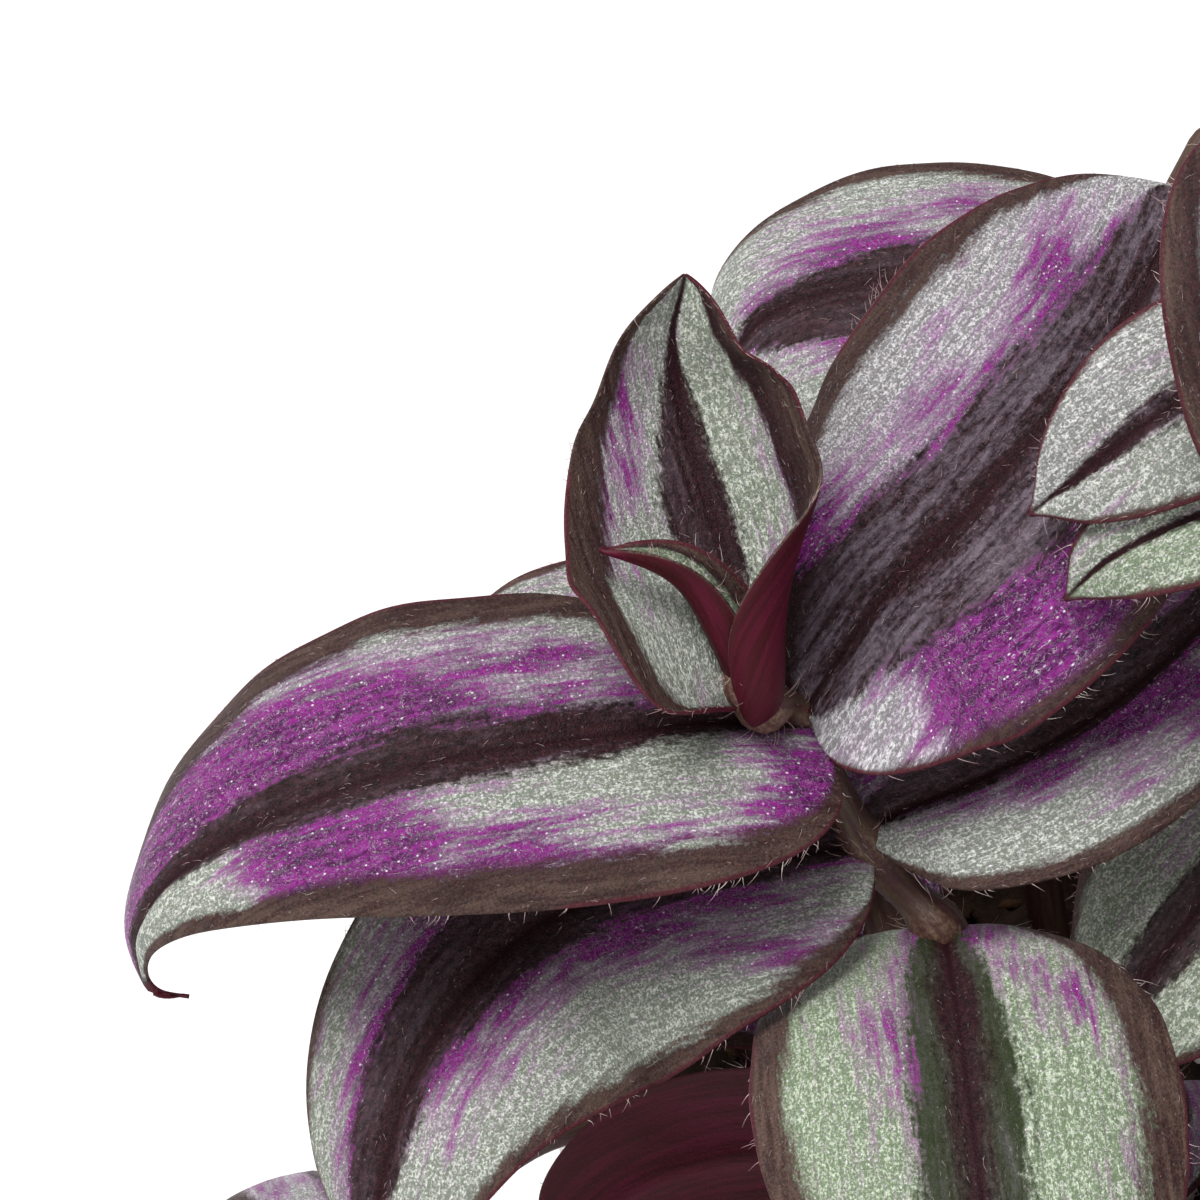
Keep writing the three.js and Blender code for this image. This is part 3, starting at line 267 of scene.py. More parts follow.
# Name, where grown leaves start along it, foot, mouth and course of each stem.
SHOOTS = [
    sprout("front_left", 24, (-12, -14), (-12.5, -15), (-19, -27, 118), (-27, -37.5, 137),
           (-29, -39, 144.2), (-34.5, -36.7, 150.3), (-40, -36.9, 161.3), (-42.6, -40.9, 164.6),
           (-44.6, -41.8, 168), end=44, leaves=("A", "C", "B", "bud", "A2", "D", "E")),
    sprout("front", 40, (12, -34), (12, -35), (14, -42, 120), (11, -48, 145), (4, -48, 165),
           (-4.3, -44, 181.5), (-5, -38, 192), end=98, leaves=("F1", "F2", "G")),
    sprout("back_centre", 50, (-6, 10), (-6, 10), (-9, 12, 130), (-10, 12, 160), (-10.5, 10.5, 174),
           (-6, 14, 184), end=100, leaves=("H",)),
    sprout("left_centre", 30, (-22, 2), (-23, 2), (-32, 1, 122), (-41, -0.9, 146.3), (-46, 0, 151),
           end=64, leaves=("I",)),
    sprout("front_trailing", 62, (-22, -20), (-23, -21), (-29, -33, 108), (-31.5, -41.9, 123.4),
           (-38, -52, 124), (-44, -62, 116), (-47, -70, 102), (-48, -74, 88), leaves=("J",)),
    sprout("centre_front", 34, (6, -14), (6, -14), (4, -18, 125), (0.2, -29.4, 153), (6, -34, 158),
           end=60, leaves=("K",)),
    sprout("front_right", 34, (26, -20), (27, -21), (38, -36, 125), (48, -50, 140), (56, -62, 136),
           (60, -68, 124)),
    sprout("right", 34, (34, 4), (35, 4), (50, 2, 128), (66, 0, 142), (78, -3, 134), (84, -5, 120)),
    sprout("back_right", 34, (24, 26), (25, 27), (36, 40, 130), (48, 54, 146), (58, 66, 140)),
    sprout("back", 34, (0, 34), (0, 35), (0, 50, 132), (2, 66, 146), (3, 80, 138), (4, 86, 124)),
    sprout("back_left", 34, (-24, 26), (-25, 27), (-36, 40, 118), (-48, 54, 122), (-58, 64, 110)),
    sprout("left_trailing", 34, (-36, 8), (-37, 8), (-50, 12, 116), (-62, 14, 114), (-72, 16, 98),
           (-76, 17, 78), (-77, 17, 60)),
    sprout("centre", 60, (8, 6), (8, 6), (12, 6, 130), (14, 4, 160), (16, 2, 178)),
    sprout("right_trailing", 34, (38, -14), (39, -15), (50, -26, 112), (60, -34, 112), (68, -38, 96),
           (70, -40, 76), (71, -40, 58)),
    sprout("back_trailing", 34, (14, 38), (15, 39), (26, 52, 112), (33, 62, 112), (38, 70, 96),
           (40, 73, 76)),
    sprout("right_centre", 44, (20, 10), (21, 10), (30, 16, 135), (38, 20, 165), (44, 22, 176)),
    sprout("front_low", 32, (-4, -38), (-4, -40), (-6, -52, 112), (-8, -66, 116), (-8, -76, 104)),
    sprout("front_right_low", 32, (26, -34), (26, -34), (29, -41, 108), (36, -57, 115), (44, -72, 104)),
    sprout("right_front", 32, (30, -8), (31, -8), (40, -12, 130), (48, -16, 158), (52, -18, 170)),
    sprout("middle_right", 40, (17, -6), (17, -7), (22, -16, 130), (27, -24, 158), (29, -28, 172)),
    sprout("middle_back", 40, (8, 20), (8, 21), (10, 26, 130), (12, 32, 160), (14, 36, 174)),
    sprout("back_left_tall", 36, (-12, 22), (-12, 23), (-18, 30, 125), (-24, 38, 140), (-28, 44, 146)),
    sprout("left_front_low", 32, (-34, -8), (-35, -9), (-46, -14, 108), (-58, -20, 112),
           (-68, -24, 104), (-72, -26, 92)),
    sprout("left_back_low", 32, (-34, 19), (-35, 20), (-48, 28, 112), (-60, 36, 108), (-68, 42, 94),
           (-70, 44, 78)),
    sprout("back_right_low", 32, (34, 28), (34, 28), (39, 32, 108), (54, 43, 115), (67, 51, 102),
           (71, 53, 84)),
    sprout("right_low", 32, (40, 14), (41, 15), (56, 24, 116), (68, 32, 120), (78, 38, 110),
           (82, 40, 96)),
    sprout("middle_left", 32, (-6, -3), (-6, -3), (-10, -4, 120), (-16, -2, 136), (-20, 2, 142)),
]

# ---- Rule for the leaves that are not placed by hand ----

NODE_SPACING = 14
LEAF_LENGTHS = (40, 56)
LEAF_WIDTH_SHARE = 0.46
TIP_LEAF_SHARE = 0.55
LEAF_TURN = 66
HEADING_SPREAD = 12
OUTWARD_PULL = 0.6
LEAF_RISE = 24
RISE_SPREAD = 8
CLIMB_SHARE = 0.3
LEAF_BEND = (62, 92)
LEAF_SWEEP = (5, 30)
LEAF_ROLL = 14
TIP_TURN = 18
SPINE_STEPS = 4
SAMPLE_ROWS = 12
SAMPLE_HALF_COLUMNS = 3
LEAF_GAP = 2.9
STEM_GAP = 5
OWN_SHARE = 0.3
REACH = 92
CROWN_RADIUS = 102
LOWEST_LEAF = 18
WALL_GAP = 3.2
RIM_GAP = 3
RIM_ZONE = 8
SOIL_GAP = 5
RANDOM_SEED = 4271

GROWN_SHAPE = dict(
    fold=(22, 14, 18), curl=(-30, -34, -38), lobe=2, wave=0.25,
    left=dict(rise=0.42, fall=0.74), right=dict(rise=0.42, fall=0.74),
)

BENDS = [
    (0, 0, 1), (12, 0, 1), (-12, 0, 1), (0, 14, 1), (0, -14, 1), (20, 12, 0.9), (-20, 12, 0.9),
    (20, -14, 0.9), (-20, -14, 0.9), (0, 28, 0.85), (0, -28, 0.85), (34, 6, 0.8), (-34, 6, 0.8),
    (0, 0, 0.7), (26, 26, 0.7), (-26, 26, 0.7), (26, -26, 0.7), (-26, -26, 0.7), (50, 10, 0.65),
    (-50, 10, 0.65), (0, 50, 0.6), (40, 40, 0.6), (-40, 40, 0.6), (70, 0, 0.55), (-70, 0, 0.55),
    (180, 10, 0.6), (150, 20, 0.55), (-150, 20, 0.55), (0, 0, 0.5),
]

SKYLINE = [(-200, -44), (-73, -44), (-72.5, 2), (-47, 18), (-32, 30), (-11, 60)]
SPRAY_RIGHT_EDGE = -6
SPRAY_LOW_EDGE = -40
SPRAY_BACK = -40
SPRAY_LOW_BACK = -28
SPRAY_MIDDLE = 6

# ---- Vectors, draws and courses ----

DRAW_FACTOR, DRAW_CYCLE = 16807, 2147483647
random_state = RANDOM_SEED


def draw(low, high):
    """Next number of the seeded draw, between low and high."""
    global random_state
    random_state = (random_state * DRAW_FACTOR) % DRAW_CYCLE
    return low + ((high - low) * random_state) / DRAW_CYCLE


def unit(vectors):
    length = np.linalg.norm(vectors, axis=-1, keepdims=True)
    return vectors / np.maximum(length, 1e-12)


def seen_direction(place):
    """Direction given as right, up and near, in the part's own frame."""
    right, up, near = place
    return np.array([right, up * VIEW_SIN - near * VIEW_COS, up * VIEW_COS + near * VIEW_SIN])


def run_along(points):
    """Distance run along a row of points, at each of them."""
    return np.concatenate([[0], np.cumsum(np.linalg.norm(np.diff(points, axis=0), axis=1))])


def sampled(points, run, wanted):
    """Places at the wanted distances along a row of points, or tangents there."""
    return np.stack([np.interp(wanted, run, points[:, axis]) for axis in range(3)], 1)


def even_points(points, count):
    """Points at even distances along a smooth curve through the given ones, and its length."""
    knots = np.asarray(points, float)
    knots = np.vstack([2 * knots[0] - knots[1], knots, 2 * knots[-1] - knots[-2]])
    fine = []
    for index in range(1, len(knots) - 2):
        before, start, end, after = knots[index - 1:index + 3]
        leave, arrive = (end - before) / 2, (after - start) / 2
        for step in range(CURVE_STEPS):
            t = step / CURVE_STEPS
            cubic = (2 * start - 2 * end + leave + arrive) * t ** 3
            square = (-3 * start + 3 * end - 2 * leave - arrive) * t ** 2
            fine.append(cubic + square + leave * t + start)
    fine = np.array(fine + [knots[-2]])
    run = run_along(fine)
    return sampled(fine, run, run[-1] * np.arange(count + 1) / count), run[-1]


def tangents_of(points):
    """Unit tangents along a row of points."""
    before = np.vstack([points[:1], points[:-1]])
    after = np.vstack([points[1:], points[-1:]])
    return unit(after - before)


def eased(values, share):
    """Smooth change between three values: root, just short of the middle, and tip."""
    share = np.asarray(share, float)
    first = share < EASE_MIDDLE
    part = np.where(first, share / EASE_MIDDLE, (share - EASE_MIDDLE) / (1 - EASE_MIDDLE))
    weight = part * part * (3 - 2 * part)
    start = np.where(first, values[0], values[1])
    end = np.where(first, values[1], values[2])
    return start + (end - start) * weight


def outline(share, rise, fall, pinch):
    """Half width of a leaf at a share of its length, as a part of the widest."""
    peak_at = rise / (rise + fall)
    peak = peak_at ** rise * (1 - peak_at) ** fall
    tip_taper = pinch + (1 - pinch) * np.minimum(1, (1 - share) / TAPER_SHARE)
    return share ** rise * (1 - share) ** fall / peak * tip_taper


def blade_rows(leaf, spine, tangents, shares, across_places, tip=BLADE_TIP):
    """Middle surface of a blade and the distance from its midrib, at each share and place across."""
    face = np.stack([eased([f[axis] for f in leaf["face"]], shares) for axis in range(3)], 1)
    normal = unit(face - (face * tangents).sum(1, keepdims=True) * tangents)
    across = np.cross(tangents, normal)
    columns, widths = [], []
    for place in across_places:
        side = leaf["right"] if place > 0 else leaf["left"]
        out = abs(place)
        fold = np.radians(eased(side.get("fold", leaf["fold"]), shares))
        curl = np.radians(eased(side.get("curl", leaf["curl"]), shares))
        full = leaf["width"] / 2 * side.get("wide", 1)
        least = BLADE_NECK * (1 - shares) + tip * shares
        filled = np.minimum(1, shares / (1 - leaf.get("hook", 0)))
        shape = outline(filled, side["rise"], side["fall"], leaf.get("pinch", TIP_PINCH))
        half = np.maximum(full * shape, least)
        sideways = half * (np.sin(fold + curl * out) - np.sin(fold)) / curl
        lift = half * (np.cos(fold) - np.cos(fold + curl * out)) / curl
        near_root = shares < side["rise"] / (side["rise"] + side["fall"])
        roundness = np.where(near_root, 2 * np.sqrt(np.maximum(0, shape * (1 - shape))), 0)
        back = side.get("lobe", leaf["lobe"]) * out ** LOBE_REACH * roundness
        phase = RIGHT_PHASE if place > 0 else LEFT_PHASE
        fullness = np.minimum(1, half / (FULL_SHARE * leaf["width"]))
        ripple = np.sin(2 * math.pi * WAVES * shares + phase) * out ** 2 * fullness
        rise = lift + leaf.get("wave", 0) * ripple
        columns.append(spine + across * (np.sign(place) * sideways)[:, None]
                       + normal * rise[:, None] - tangents * back[:, None])
        widths.append(half * place)
    return np.stack(columns, 1), np.stack(widths, 1)


# ---- Where the leaves go ----

def stem_course(shoot):
    """Course of a stem: places at even steps of about 2 mm, tangents and length."""
    rough = even_points(shoot["stem"], ROUGH_STEPS)[1]
    places, length = even_points(shoot["stem"], int(math.floor(rough / COURSE_STEP + 0.5)))
    return dict(places=places, tangents=tangents_of(places), length=length)


def course_index(course, distance):
    last = len(course["places"]) - 1
    return min(last, int(math.floor(distance / course["length"] * last + 0.5)))


def distance_along(course, point):
    """Distance along the course of the place nearest to a point."""
    nearest = int(np.argmin(np.linalg.norm(course["places"] - point, axis=1)))
    return course["length"] * nearest / (len(course["places"]) - 1)


def placed_leaf(name):
    """Listed leaf with its spine and faces in the part's frame."""
    leaf = LEAVES[name]
    spine = [seen_direction(place) + FRONT_NODE for place in leaf["spine"]]
    return dict(leaf, name=name, spine=spine, face=[seen_direction(face) for face in leaf["face"]])


def arched_leaf(root, heading, rise, bend, sweep, roll, length, width):
    """Arching leaf from a root: heading, rise and bend in degrees."""
    spine, face = [root], []
    for index in range(SPINE_STEPS):
        share = (index + 0.5) / SPINE_STEPS
        turned = math.radians(heading + sweep * share)
        risen = math.radians(rise - bend * share)
        level = np.array([math.cos(turned), math.sin(turned), 0])
        along = level * math.cos(risen) + np.array([0, 0, math.sin(risen)])
        normal = level * -math.sin(risen) + np.array([0, 0, math.cos(risen)])
        rolled = math.radians(roll)
        face.append(normal * math.cos(rolled) + np.cross(along, normal) * math.sin(rolled))
        spine.append(spine[-1] + along * length / SPINE_STEPS)
    return dict(GROWN_SHAPE, spine=spine, face=[face[0], face[1], face[-1]], width=width)


def blade_samples(leaf):
    """Points over a blade, with the share of its length that each is at, and their sphere."""
    spine = even_points(leaf["spine"], SAMPLE_ROWS)[0]
    shares = np.arange(SAMPLE_ROWS + 1) / SAMPLE_ROWS
    places = np.arange(-SAMPLE_HALF_COLUMNS, SAMPLE_HALF_COLUMNS + 1) / SAMPLE_HALF_COLUMNS
    grid = blade_rows(leaf, spine, tangents_of(spine), shares, places)[0]
    points = grid.reshape(-1, 3)
    centre = points[len(points) // 2]
    radius = np.linalg.norm(points - centre, axis=1).max()
    return dict(points=points, free=np.repeat(shares, len(places)) >= OWN_SHARE, centre=centre,
                radius=radius)


def skyline_at(x):
    return np.interp(x, *zip(*SKYLINE))


def in_open_places(points):
    """True where a blade may pass: clear of pot, soil and ground, and out of the spray's way."""
    x, y, z = points.T
    radius = np.hypot(x, y)
    far = (np.maximum(abs(x), abs(y)) > REACH) | (radius > CROWN_RADIUS) | (z < LOWEST_LEAF)
    over_pot = radius <= POT_RIM_RADIUS + WALL_GAP
    low = over_pot & (z < SOIL_TOP + SOIL_GAP)
    rim = over_pot & (radius > POT_RIM_RADIUS - RIM_ZONE) & (z < POT_HEIGHT + RIM_GAP)
    from_node = points - FRONT_NODE
    up = from_node[:, 1] * VIEW_SIN + from_node[:, 2] * VIEW_COS
    near = from_node[:, 2] * VIEW_SIN - from_node[:, 1] * VIEW_COS
    seen = (x < SPRAY_RIGHT_EDGE) & (up > SPRAY_LOW_EDGE)
    back = np.where(up > SPRAY_MIDDLE, SPRAY_BACK, SPRAY_LOW_BACK)
    hidden = (up < skyline_at(x)) & (near < back)
    return not (far | low | rim | (seen & ~hidden)).any()


def closer_than(points, others, gap):
    if not len(points) or not len(others):
        return False
    apart = ((points[:, None, :] - others[None, :, :]) ** 2).sum(2)
    return bool((apart < gap * gap).any())


def is_clear(samples, shoot_name, taken, stems):
    """True where a leaf is clear of every other leaf and stem."""
    if not in_open_places(samples["points"]):
        return False
    free = samples["points"][samples["free"]]
    for other_name, other in taken:
        reach = samples["radius"] + other["radius"] + LEAF_GAP
        if np.linalg.norm(samples["centre"] - other["centre"]) > reach:
            continue
        if other_name == shoot_name:
            if closer_than(free, other["points"][other["free"]], LEAF_GAP):
                return False
        elif closer_than(samples["points"], other["points"], LEAF_GAP):
            return False
    for stem_name, places in stems:
        points = free if stem_name == shoot_name else samples["points"]
        if closer_than(points, places, STEM_GAP):
            return False
    return True


def grown_leaves(shoot, taken, stems):
    """Leaves that a shoot grows by rule, each bent clear of what is there, or left out."""
    course, leaves = shoot["course"], []
    start, limit = shoot["grow"]
    end = min(limit, course["length"])
    count = max(1, int((end - start) // NODE_SPACING))
    for node in range(count + 1):
        at_tip = limit > course["length"] and node == count
        index = course_index(course, start + (end - start) * node / count)
        root, tangent = course["places"][index], course["tangents"][index]
        outward = math.hypot(root[0], root[1]) or 1
        heading_x = tangent[0] + OUTWARD_PULL * root[0] / outward
        heading_y = tangent[1] + OUTWARD_PULL * root[1] / outward
        side = -1 if node % 2 else 1
        heading = math.degrees(math.atan2(heading_y, heading_x))
        heading += side * (TIP_TURN if at_tip else LEAF_TURN) + draw(-HEADING_SPREAD, HEADING_SPREAD)
        climb = math.degrees(math.asin(tangent[2]))
        rise = LEAF_RISE + CLIMB_SHARE * climb + draw(-RISE_SPREAD, RISE_SPREAD)
        bend = draw(*LEAF_BEND)
        sweep = -side * draw(*LEAF_SWEEP)
        roll = draw(-LEAF_ROLL, LEAF_ROLL)
        length = draw(*LEAF_LENGTHS) * (TIP_LEAF_SHARE if at_tip else 1)
        for turn, lift, size in BENDS:
            grown = arched_leaf(root, heading + turn, rise + lift, bend, sweep, roll,
                                length * size, length * size * LEAF_WIDTH_SHARE)
            samples = blade_samples(grown)
            if is_clear(samples, shoot["name"], taken, stems):
                taken.append((shoot["name"], samples))
                leaves.append(grown)
                break
    return leaves


def planted_shoots():
    """Every shoot with its course and its leaves."""
    shoots = [dict(shoot, course=stem_course(shoot)) for shoot in SHOOTS]
    stems = [(shoot["name"], shoot["course"]["places"]) for shoot in shoots]
    taken = []
    for shoot in shoots:
        shoot["placed"] = [placed_leaf(name) for name in shoot["leaves"]]
        taken += [(shoot["name"], blade_samples(leaf)) for leaf in shoot["placed"]]
    for shoot in shoots:
        shoot["grown"] = grown_leaves(shoot, taken, stems)
    return shoots


# ---- Fine meshes ----

# Rows and half columns of the fine blades: the photographed ones, and all others. Rows stand
# closer at the root and the tip, and columns at the margins.
PHOTO_BLADE = (110, 22)
OTHER_BLADE = (40, 9)
FINE_SPINE_STEPS = 240
EVEN_ROWS, EASED_ROWS = 0.2, 0.8
EVEN_COLUMNS, CROWDED_COLUMNS = 0.45, 0.55
FINE_TIP = 0.08
FINE_FULL_SHARE = 0.25
ROOT_THINNING = 0.03
TIP_THINNING = 0.05
TIP_THICKNESS = 0.25
THIN_END = 0.35
GROOVE_DEPTH = 0.28
GROOVE_WIDTH = 0.55
KEEL_DEPTH = 0.4
KEEL_WIDTH = 0.8
KEEL_FADE = 0.7
EASE_SHARE = 0.5
EASE_ROUNDS = 14

# Waves of a blade: how many, how high in mm, and their pitches per mm.
SWELLS, SWELL_HEIGHT, SWELL_PITCHES = 5, 0.16, (0.25, 0.7)
RUFFLES, RUFFLE_HEIGHT, RUFFLE_PITCHES = 4, 0.14, (0.35, 1.1)
WAVE_PHASES = (0, 6.28)
SIDE_PHASE = 1.3

STEM_FINE_SIDES = 16
STEM_RING_SPACING = 0.8
STEM_RIBS, RIB_HEIGHT = 4, 0.03
STEM_END_SHARES = (0.85, 0.45)
STEM_END_REACH = 0.4
SHEATH_REACH = 3.2
SHEATH_SHARE_ABOVE = 0.45

# Numbers that set each leaf's noise apart.
SEED_CYCLE, SEED_SPACING = 97, 3.1

# Hairs, mm: their radius, the spread of their lengths, and the mean and spread of how far they
# lean and bend along the blade or stem and out of it.
HAIR_STEPS = np.array([0, 0.35, 0.7, 1.0])
HAIR_BEND = 0.55
HAIR_TAPER = 0.8
HAIR_TWIST = (0.013, 0.021, 0.034)
RIM_HAIR_SPACING = 1.3
GROWN_SPACING_SHARE = 2.2
RIM_HAIR_RADIUS = 0.026
GROWN_HAIR_RADIUS = 0.03
RIM_HAIR_END = 0.97
RIM_HAIR_LENGTHS = (0.3, 0.95)
LONG_HAIR_FROM, LONG_HAIR_EXTRA = 0.86, 0.7
TUFT_SIZE, TUFT_SPREAD = 3, 1.6
RIM_LEAN, RIM_LIFT = (0.35, 0.6), (0, 0.5)
RIM_BEND, RIM_CURL = (0.6, 0.7), (0, 0.8)
RIM_HAIR_SINK = 0.05
FACE_HAIR_AREA = 2.6
FACE_HAIR_RADIUS = 0.014
FACE_HAIR_LENGTHS = (0.25, 0.75)
FACE_RISES = (0.25, 0.9)
FACE_SWAY, FACE_CURL = (0, 0.5), (0, 0.8)
FACE_BEND, FACE_DROOP = 0.6, 0.8
FACE_HAIR_SINK = 0.02
SHEATH_HAIRS = 28
SHEATH_HAIR_RADIUS = 0.026
SHEATH_HAIR_LENGTHS = (0.8, 2.2)
SHEATH_PLACE = (0, 1.6)
SHEATH_DROP = 0.8
SHEATH_LEANS = (0.1, 1.0)
SHEATH_CURL = (0, 0.5)
SHEATH_HAIR_SINK = 0.08
BARE_FOOT = 4

POT_FINE_SIDES = 160
HOLE_SIDES = 40
HOLE_EDGE_SHARE = 0.98
ARC_POINTS = 6
CREASE_ANGLE = 40
WELD_DISTANCE = 0.001
FLAT_TOLERANCE = 1e-6
SOIL_FINE_SIDES = 224
SOIL_FINE_RINGS = 84
AXIS_RADIUS = 0.001
SOIL_DIP = 1.1
LUMP_WAVES = ((0.9, 0.28), (1.7, 0.2), (3.1, 0.12))
WAVES_PER_PITCH = 5
CRUMBS = 420
CRUMB_SIZES = (0.5, 1.5)
CRUMB_FLATNESS = 0.7
CRUMB_DENT = 0.22
CRUMB_EDGE = 2.5
PERLITE_EVERY = 9
FLOOR_REACH = 12000

rng = np.random.default_rng(RANDOM_SEED)


class Bundle:
    """Vertices, faces, their materials and their painted values, gathered into one mesh."""

    def __init__(self):
        self.vertices, self.faces, self.slots = [], [], []
        self.values = {}
        self.count = 0

    def add(self, vertices, faces, slots=0, caps=(), **values):
        """Add vertices [n, 3], faces [m, 3 or 4] with their material index, and end caps."""
        self.vertices.append(vertices)
        for corners, slot in ((faces, slots), (caps, 0)):
            self.faces += (np.asarray(corners, int) + self.count).tolist()
            self.slots += np.broadcast_to(slot, len(corners)).tolist()
        for name, value in values.items():
            self.values.setdefault(name, []).append(value)
        self.count += len(vertices)

    def piece(self, name, materials, nodes, slot):
        """Smooth piece of the scene that rides the part's only body."""
        mesh = bpy.data.meshes.new(name)
        mesh.from_pydata((np.concatenate(self.vertices) * MM).tolist(), [], self.faces)
        for material in materials:
            mesh.materials.append(material)
        mesh.polygons.foreach_set("material_index", self.slots)
        mesh.polygons.foreach_set("use_smooth", [True] * len(self.faces))
        for value_name, values in self.values.items():
            attribute = mesh.attributes.new(value_name, "FLOAT_VECTOR", "POINT")
            attribute.data.foreach_set("vector", np.concatenate(values).astype(np.float32).ravel())
        mesh.update()
        made = bpy.data.objects.new(name, mesh)
        bpy.context.scene.collection.objects.link(made)
        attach(made, "root")
        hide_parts(*nodes)
        return made


def ring_angles(sides):
    return 2 * math.pi * np.arange(sides) / sides


def ring_faces(rows, size):
    """Quads between rows of closed rings, each of the same size."""
    row, place = np.meshgrid(np.arange(rows - 1), np.arange(size), indexing="ij")
    start = row * size + place
    ahead = row * size + (place + 1) % size
    return np.stack([start, ahead, ahead + size, start + size], -1).reshape(-1, 4)


def ring_caps(rows, size):
    """Triangles that close the first and the last ring, to two middles that follow the rings."""
    place, last = np.arange(size), (rows - 1) * size
    ahead, middle = (place + 1) % size, np.full(size, rows * size)
    return np.vstack([np.stack([middle, ahead, place], 1),
                      np.stack([middle + 1, last + place, last + ahead], 1)])


def hump(distance, reach):
    """Smooth hump of height 1 at distance 0."""
    return np.exp(-(distance / reach) ** 2)


def blade_grid(leaf, rows, half_columns):
    """Fine middle surface of a blade, its normals and its leaf coordinates."""
    fine, length = even_points(leaf["spine"], FINE_SPINE_STEPS)
    even = np.arange(rows + 1) / rows
    shares = EVEN_ROWS * even ** 2 + EASED_ROWS * even ** 2 * (3 - 2 * even)
    run, wanted = np.arange(FINE_SPINE_STEPS + 1), shares * FINE_SPINE_STEPS
    along = unit(sampled(tangents_of(fine), run, wanted))
    steps = np.arange(-half_columns, half_columns + 1) / half_columns
    places = np.sin(steps * math.pi / 2) * CROWDED_COLUMNS + steps * EVEN_COLUMNS
    grid, widths = blade_rows(leaf, sampled(fine, run, wanted), along, shares, places, FINE_TIP)
    ease = (EASE_SHARE * places ** 2)[None, :, None]
    for _ in range(EASE_ROUNDS):
        grid[1:-1] += ease * ((grid[:-2] + grid[2:]) / 2 - grid[1:-1])
    normals = unit(np.cross(np.gradient(grid, axis=1), np.gradient(grid, axis=0)))
    shares = np.repeat(shares[:, None], len(places), 1)
    across = np.repeat(places[None, :], rows + 1, 0)
    return grid, normals, across, shares, widths, length


def wave_lift(across, shares, widths, length, seed):
    """Low swells over a blade and ruffles towards its margins, in mm."""
    waves = np.random.default_rng(seed)
    swell, ruffle = np.zeros_like(across), np.zeros_like(across)
    for _ in range(SWELLS):
        turn, pitch, phase = [waves.uniform(*ends) for ends in ((-1, 1), SWELL_PITCHES, WAVE_PHASES)]
        swell += np.sin(pitch * (shares * length + turn * widths) + phase) / SWELLS
    for _ in range(RUFFLES):
        pitch, phase = waves.uniform(*RUFFLE_PITCHES), waves.uniform(*WAVE_PHASES)
        ruffle += np.sin(pitch * shares * length + phase + np.sign(across) * SIDE_PHASE) / RUFFLES
    return SWELL_HEIGHT * swell + RUFFLE_HEIGHT * ruffle * abs(across) ** 3


def stepped(values, shares):
    """One value, or a smooth change through several in even steps of shares from 0 to 1."""
    if np.ndim(values) == 0:
        return np.full_like(shares, values)
    values = np.asarray(values)
    place = shares * (len(values) - 1)
    before = np.minimum(place.astype(int), len(values) - 2)
    part = place - before
    return values[before] + (values[before + 1] - values[before]) * part ** 2 * (3 - 2 * part)


def add_blade(bundle, leaf, paint, rows, half_columns, seed):
    """Add a leaf with upper and under faces, a thin round rim, a grooved midrib and a keel."""
    grid, normals, across, shares, widths, length = blade_grid(leaf, rows, half_columns)
    out = abs(across)
    half = np.maximum(abs(widths[:, -1:]), abs(widths[:, :1]))
    fullness = np.minimum(1, half / (FINE_FULL_SHARE * leaf["width"]))
    lift = wave_lift(across, shares, widths, length, seed) * fullness
    grid = grid + normals * lift[..., None]

    ends = np.minimum(shares / ROOT_THINNING, (1 - shares) / TIP_THINNING + TIP_THICKNESS)
    thick = RIM_THICKNESS + (BLADE_THICKNESS - RIM_THICKNESS) * (1 - out ** 4)
    thick = thick * (THIN_END + (1 - THIN_END) * np.minimum(1, ends))
    groove = GROOVE_DEPTH * hump(widths, GROOVE_WIDTH) * fullness
    keel = KEEL_DEPTH * hump(widths, KEEL_WIDTH) * (1 - KEEL_FADE * shares) * fullness
    upper = grid + normals * (thick / 2 - groove)[..., None]
    lower = grid - normals * (thick / 2 + keel - groove * 0.5)[..., None]
    rim_ways = [unit(grid[:, -1] - grid[:, -2]), unit(grid[:, 0] - grid[:, 1])]
    rims = [grid[:, edge] + way * RIM_THICKNESS * 0.5 for edge, way in zip((-1, 0), rim_ways)]

    def around(top, right, bottom, left):
        return np.concatenate([top, right[:, None], bottom[:, ::-1], left[:, None]], 1)

    def ringed(value):
        """A value of the grid for each vertex: its rings, then the middles of both ends."""
        values = around(value, value[:, -1], value, value[:, 0]).reshape(-1)
        return np.concatenate([values, [values[0], values[-1]]])

    columns = grid.shape[1]
    size = 2 * columns + 2
    rings = around(upper, rims[0], lower, rims[1])
    place = np.arange(size)
    is_under = np.tile((place > columns) & (place < 2 * columns), rows)
    painted = [ringed(np.where(across > 0, stepped(right, shares), stepped(left, shares)))
               for left, right in zip(*paint)]
    flush, inner, outer, lean, light, green = painted
    seeds = np.full_like(shares, (seed % SEED_CYCLE) * SEED_SPACING)
    bundle.add(
        np.vstack([rings.reshape(-1, 3), rings[0].mean(0), rings[-1].mean(0)]),
        ring_faces(rows + 1, size)[:, ::-1], np.where(is_under, 1, 0),
        caps=ring_caps(rows + 1, size)[:, [0, 2, 1]],
        spot=np.stack([ringed(widths), ringed(shares * length), ringed(seeds)], 1),
        form=np.stack([ringed(out), ringed(shares), ringed(half * np.ones_like(out))], 1),
        stripe=np.stack([flush, inner, outer], 1),
        tone=np.stack([light, green, lean], 1),
    )
    return dict(grid=grid, normals=normals, upper=upper, rims=rims, rim_ways=rim_ways)


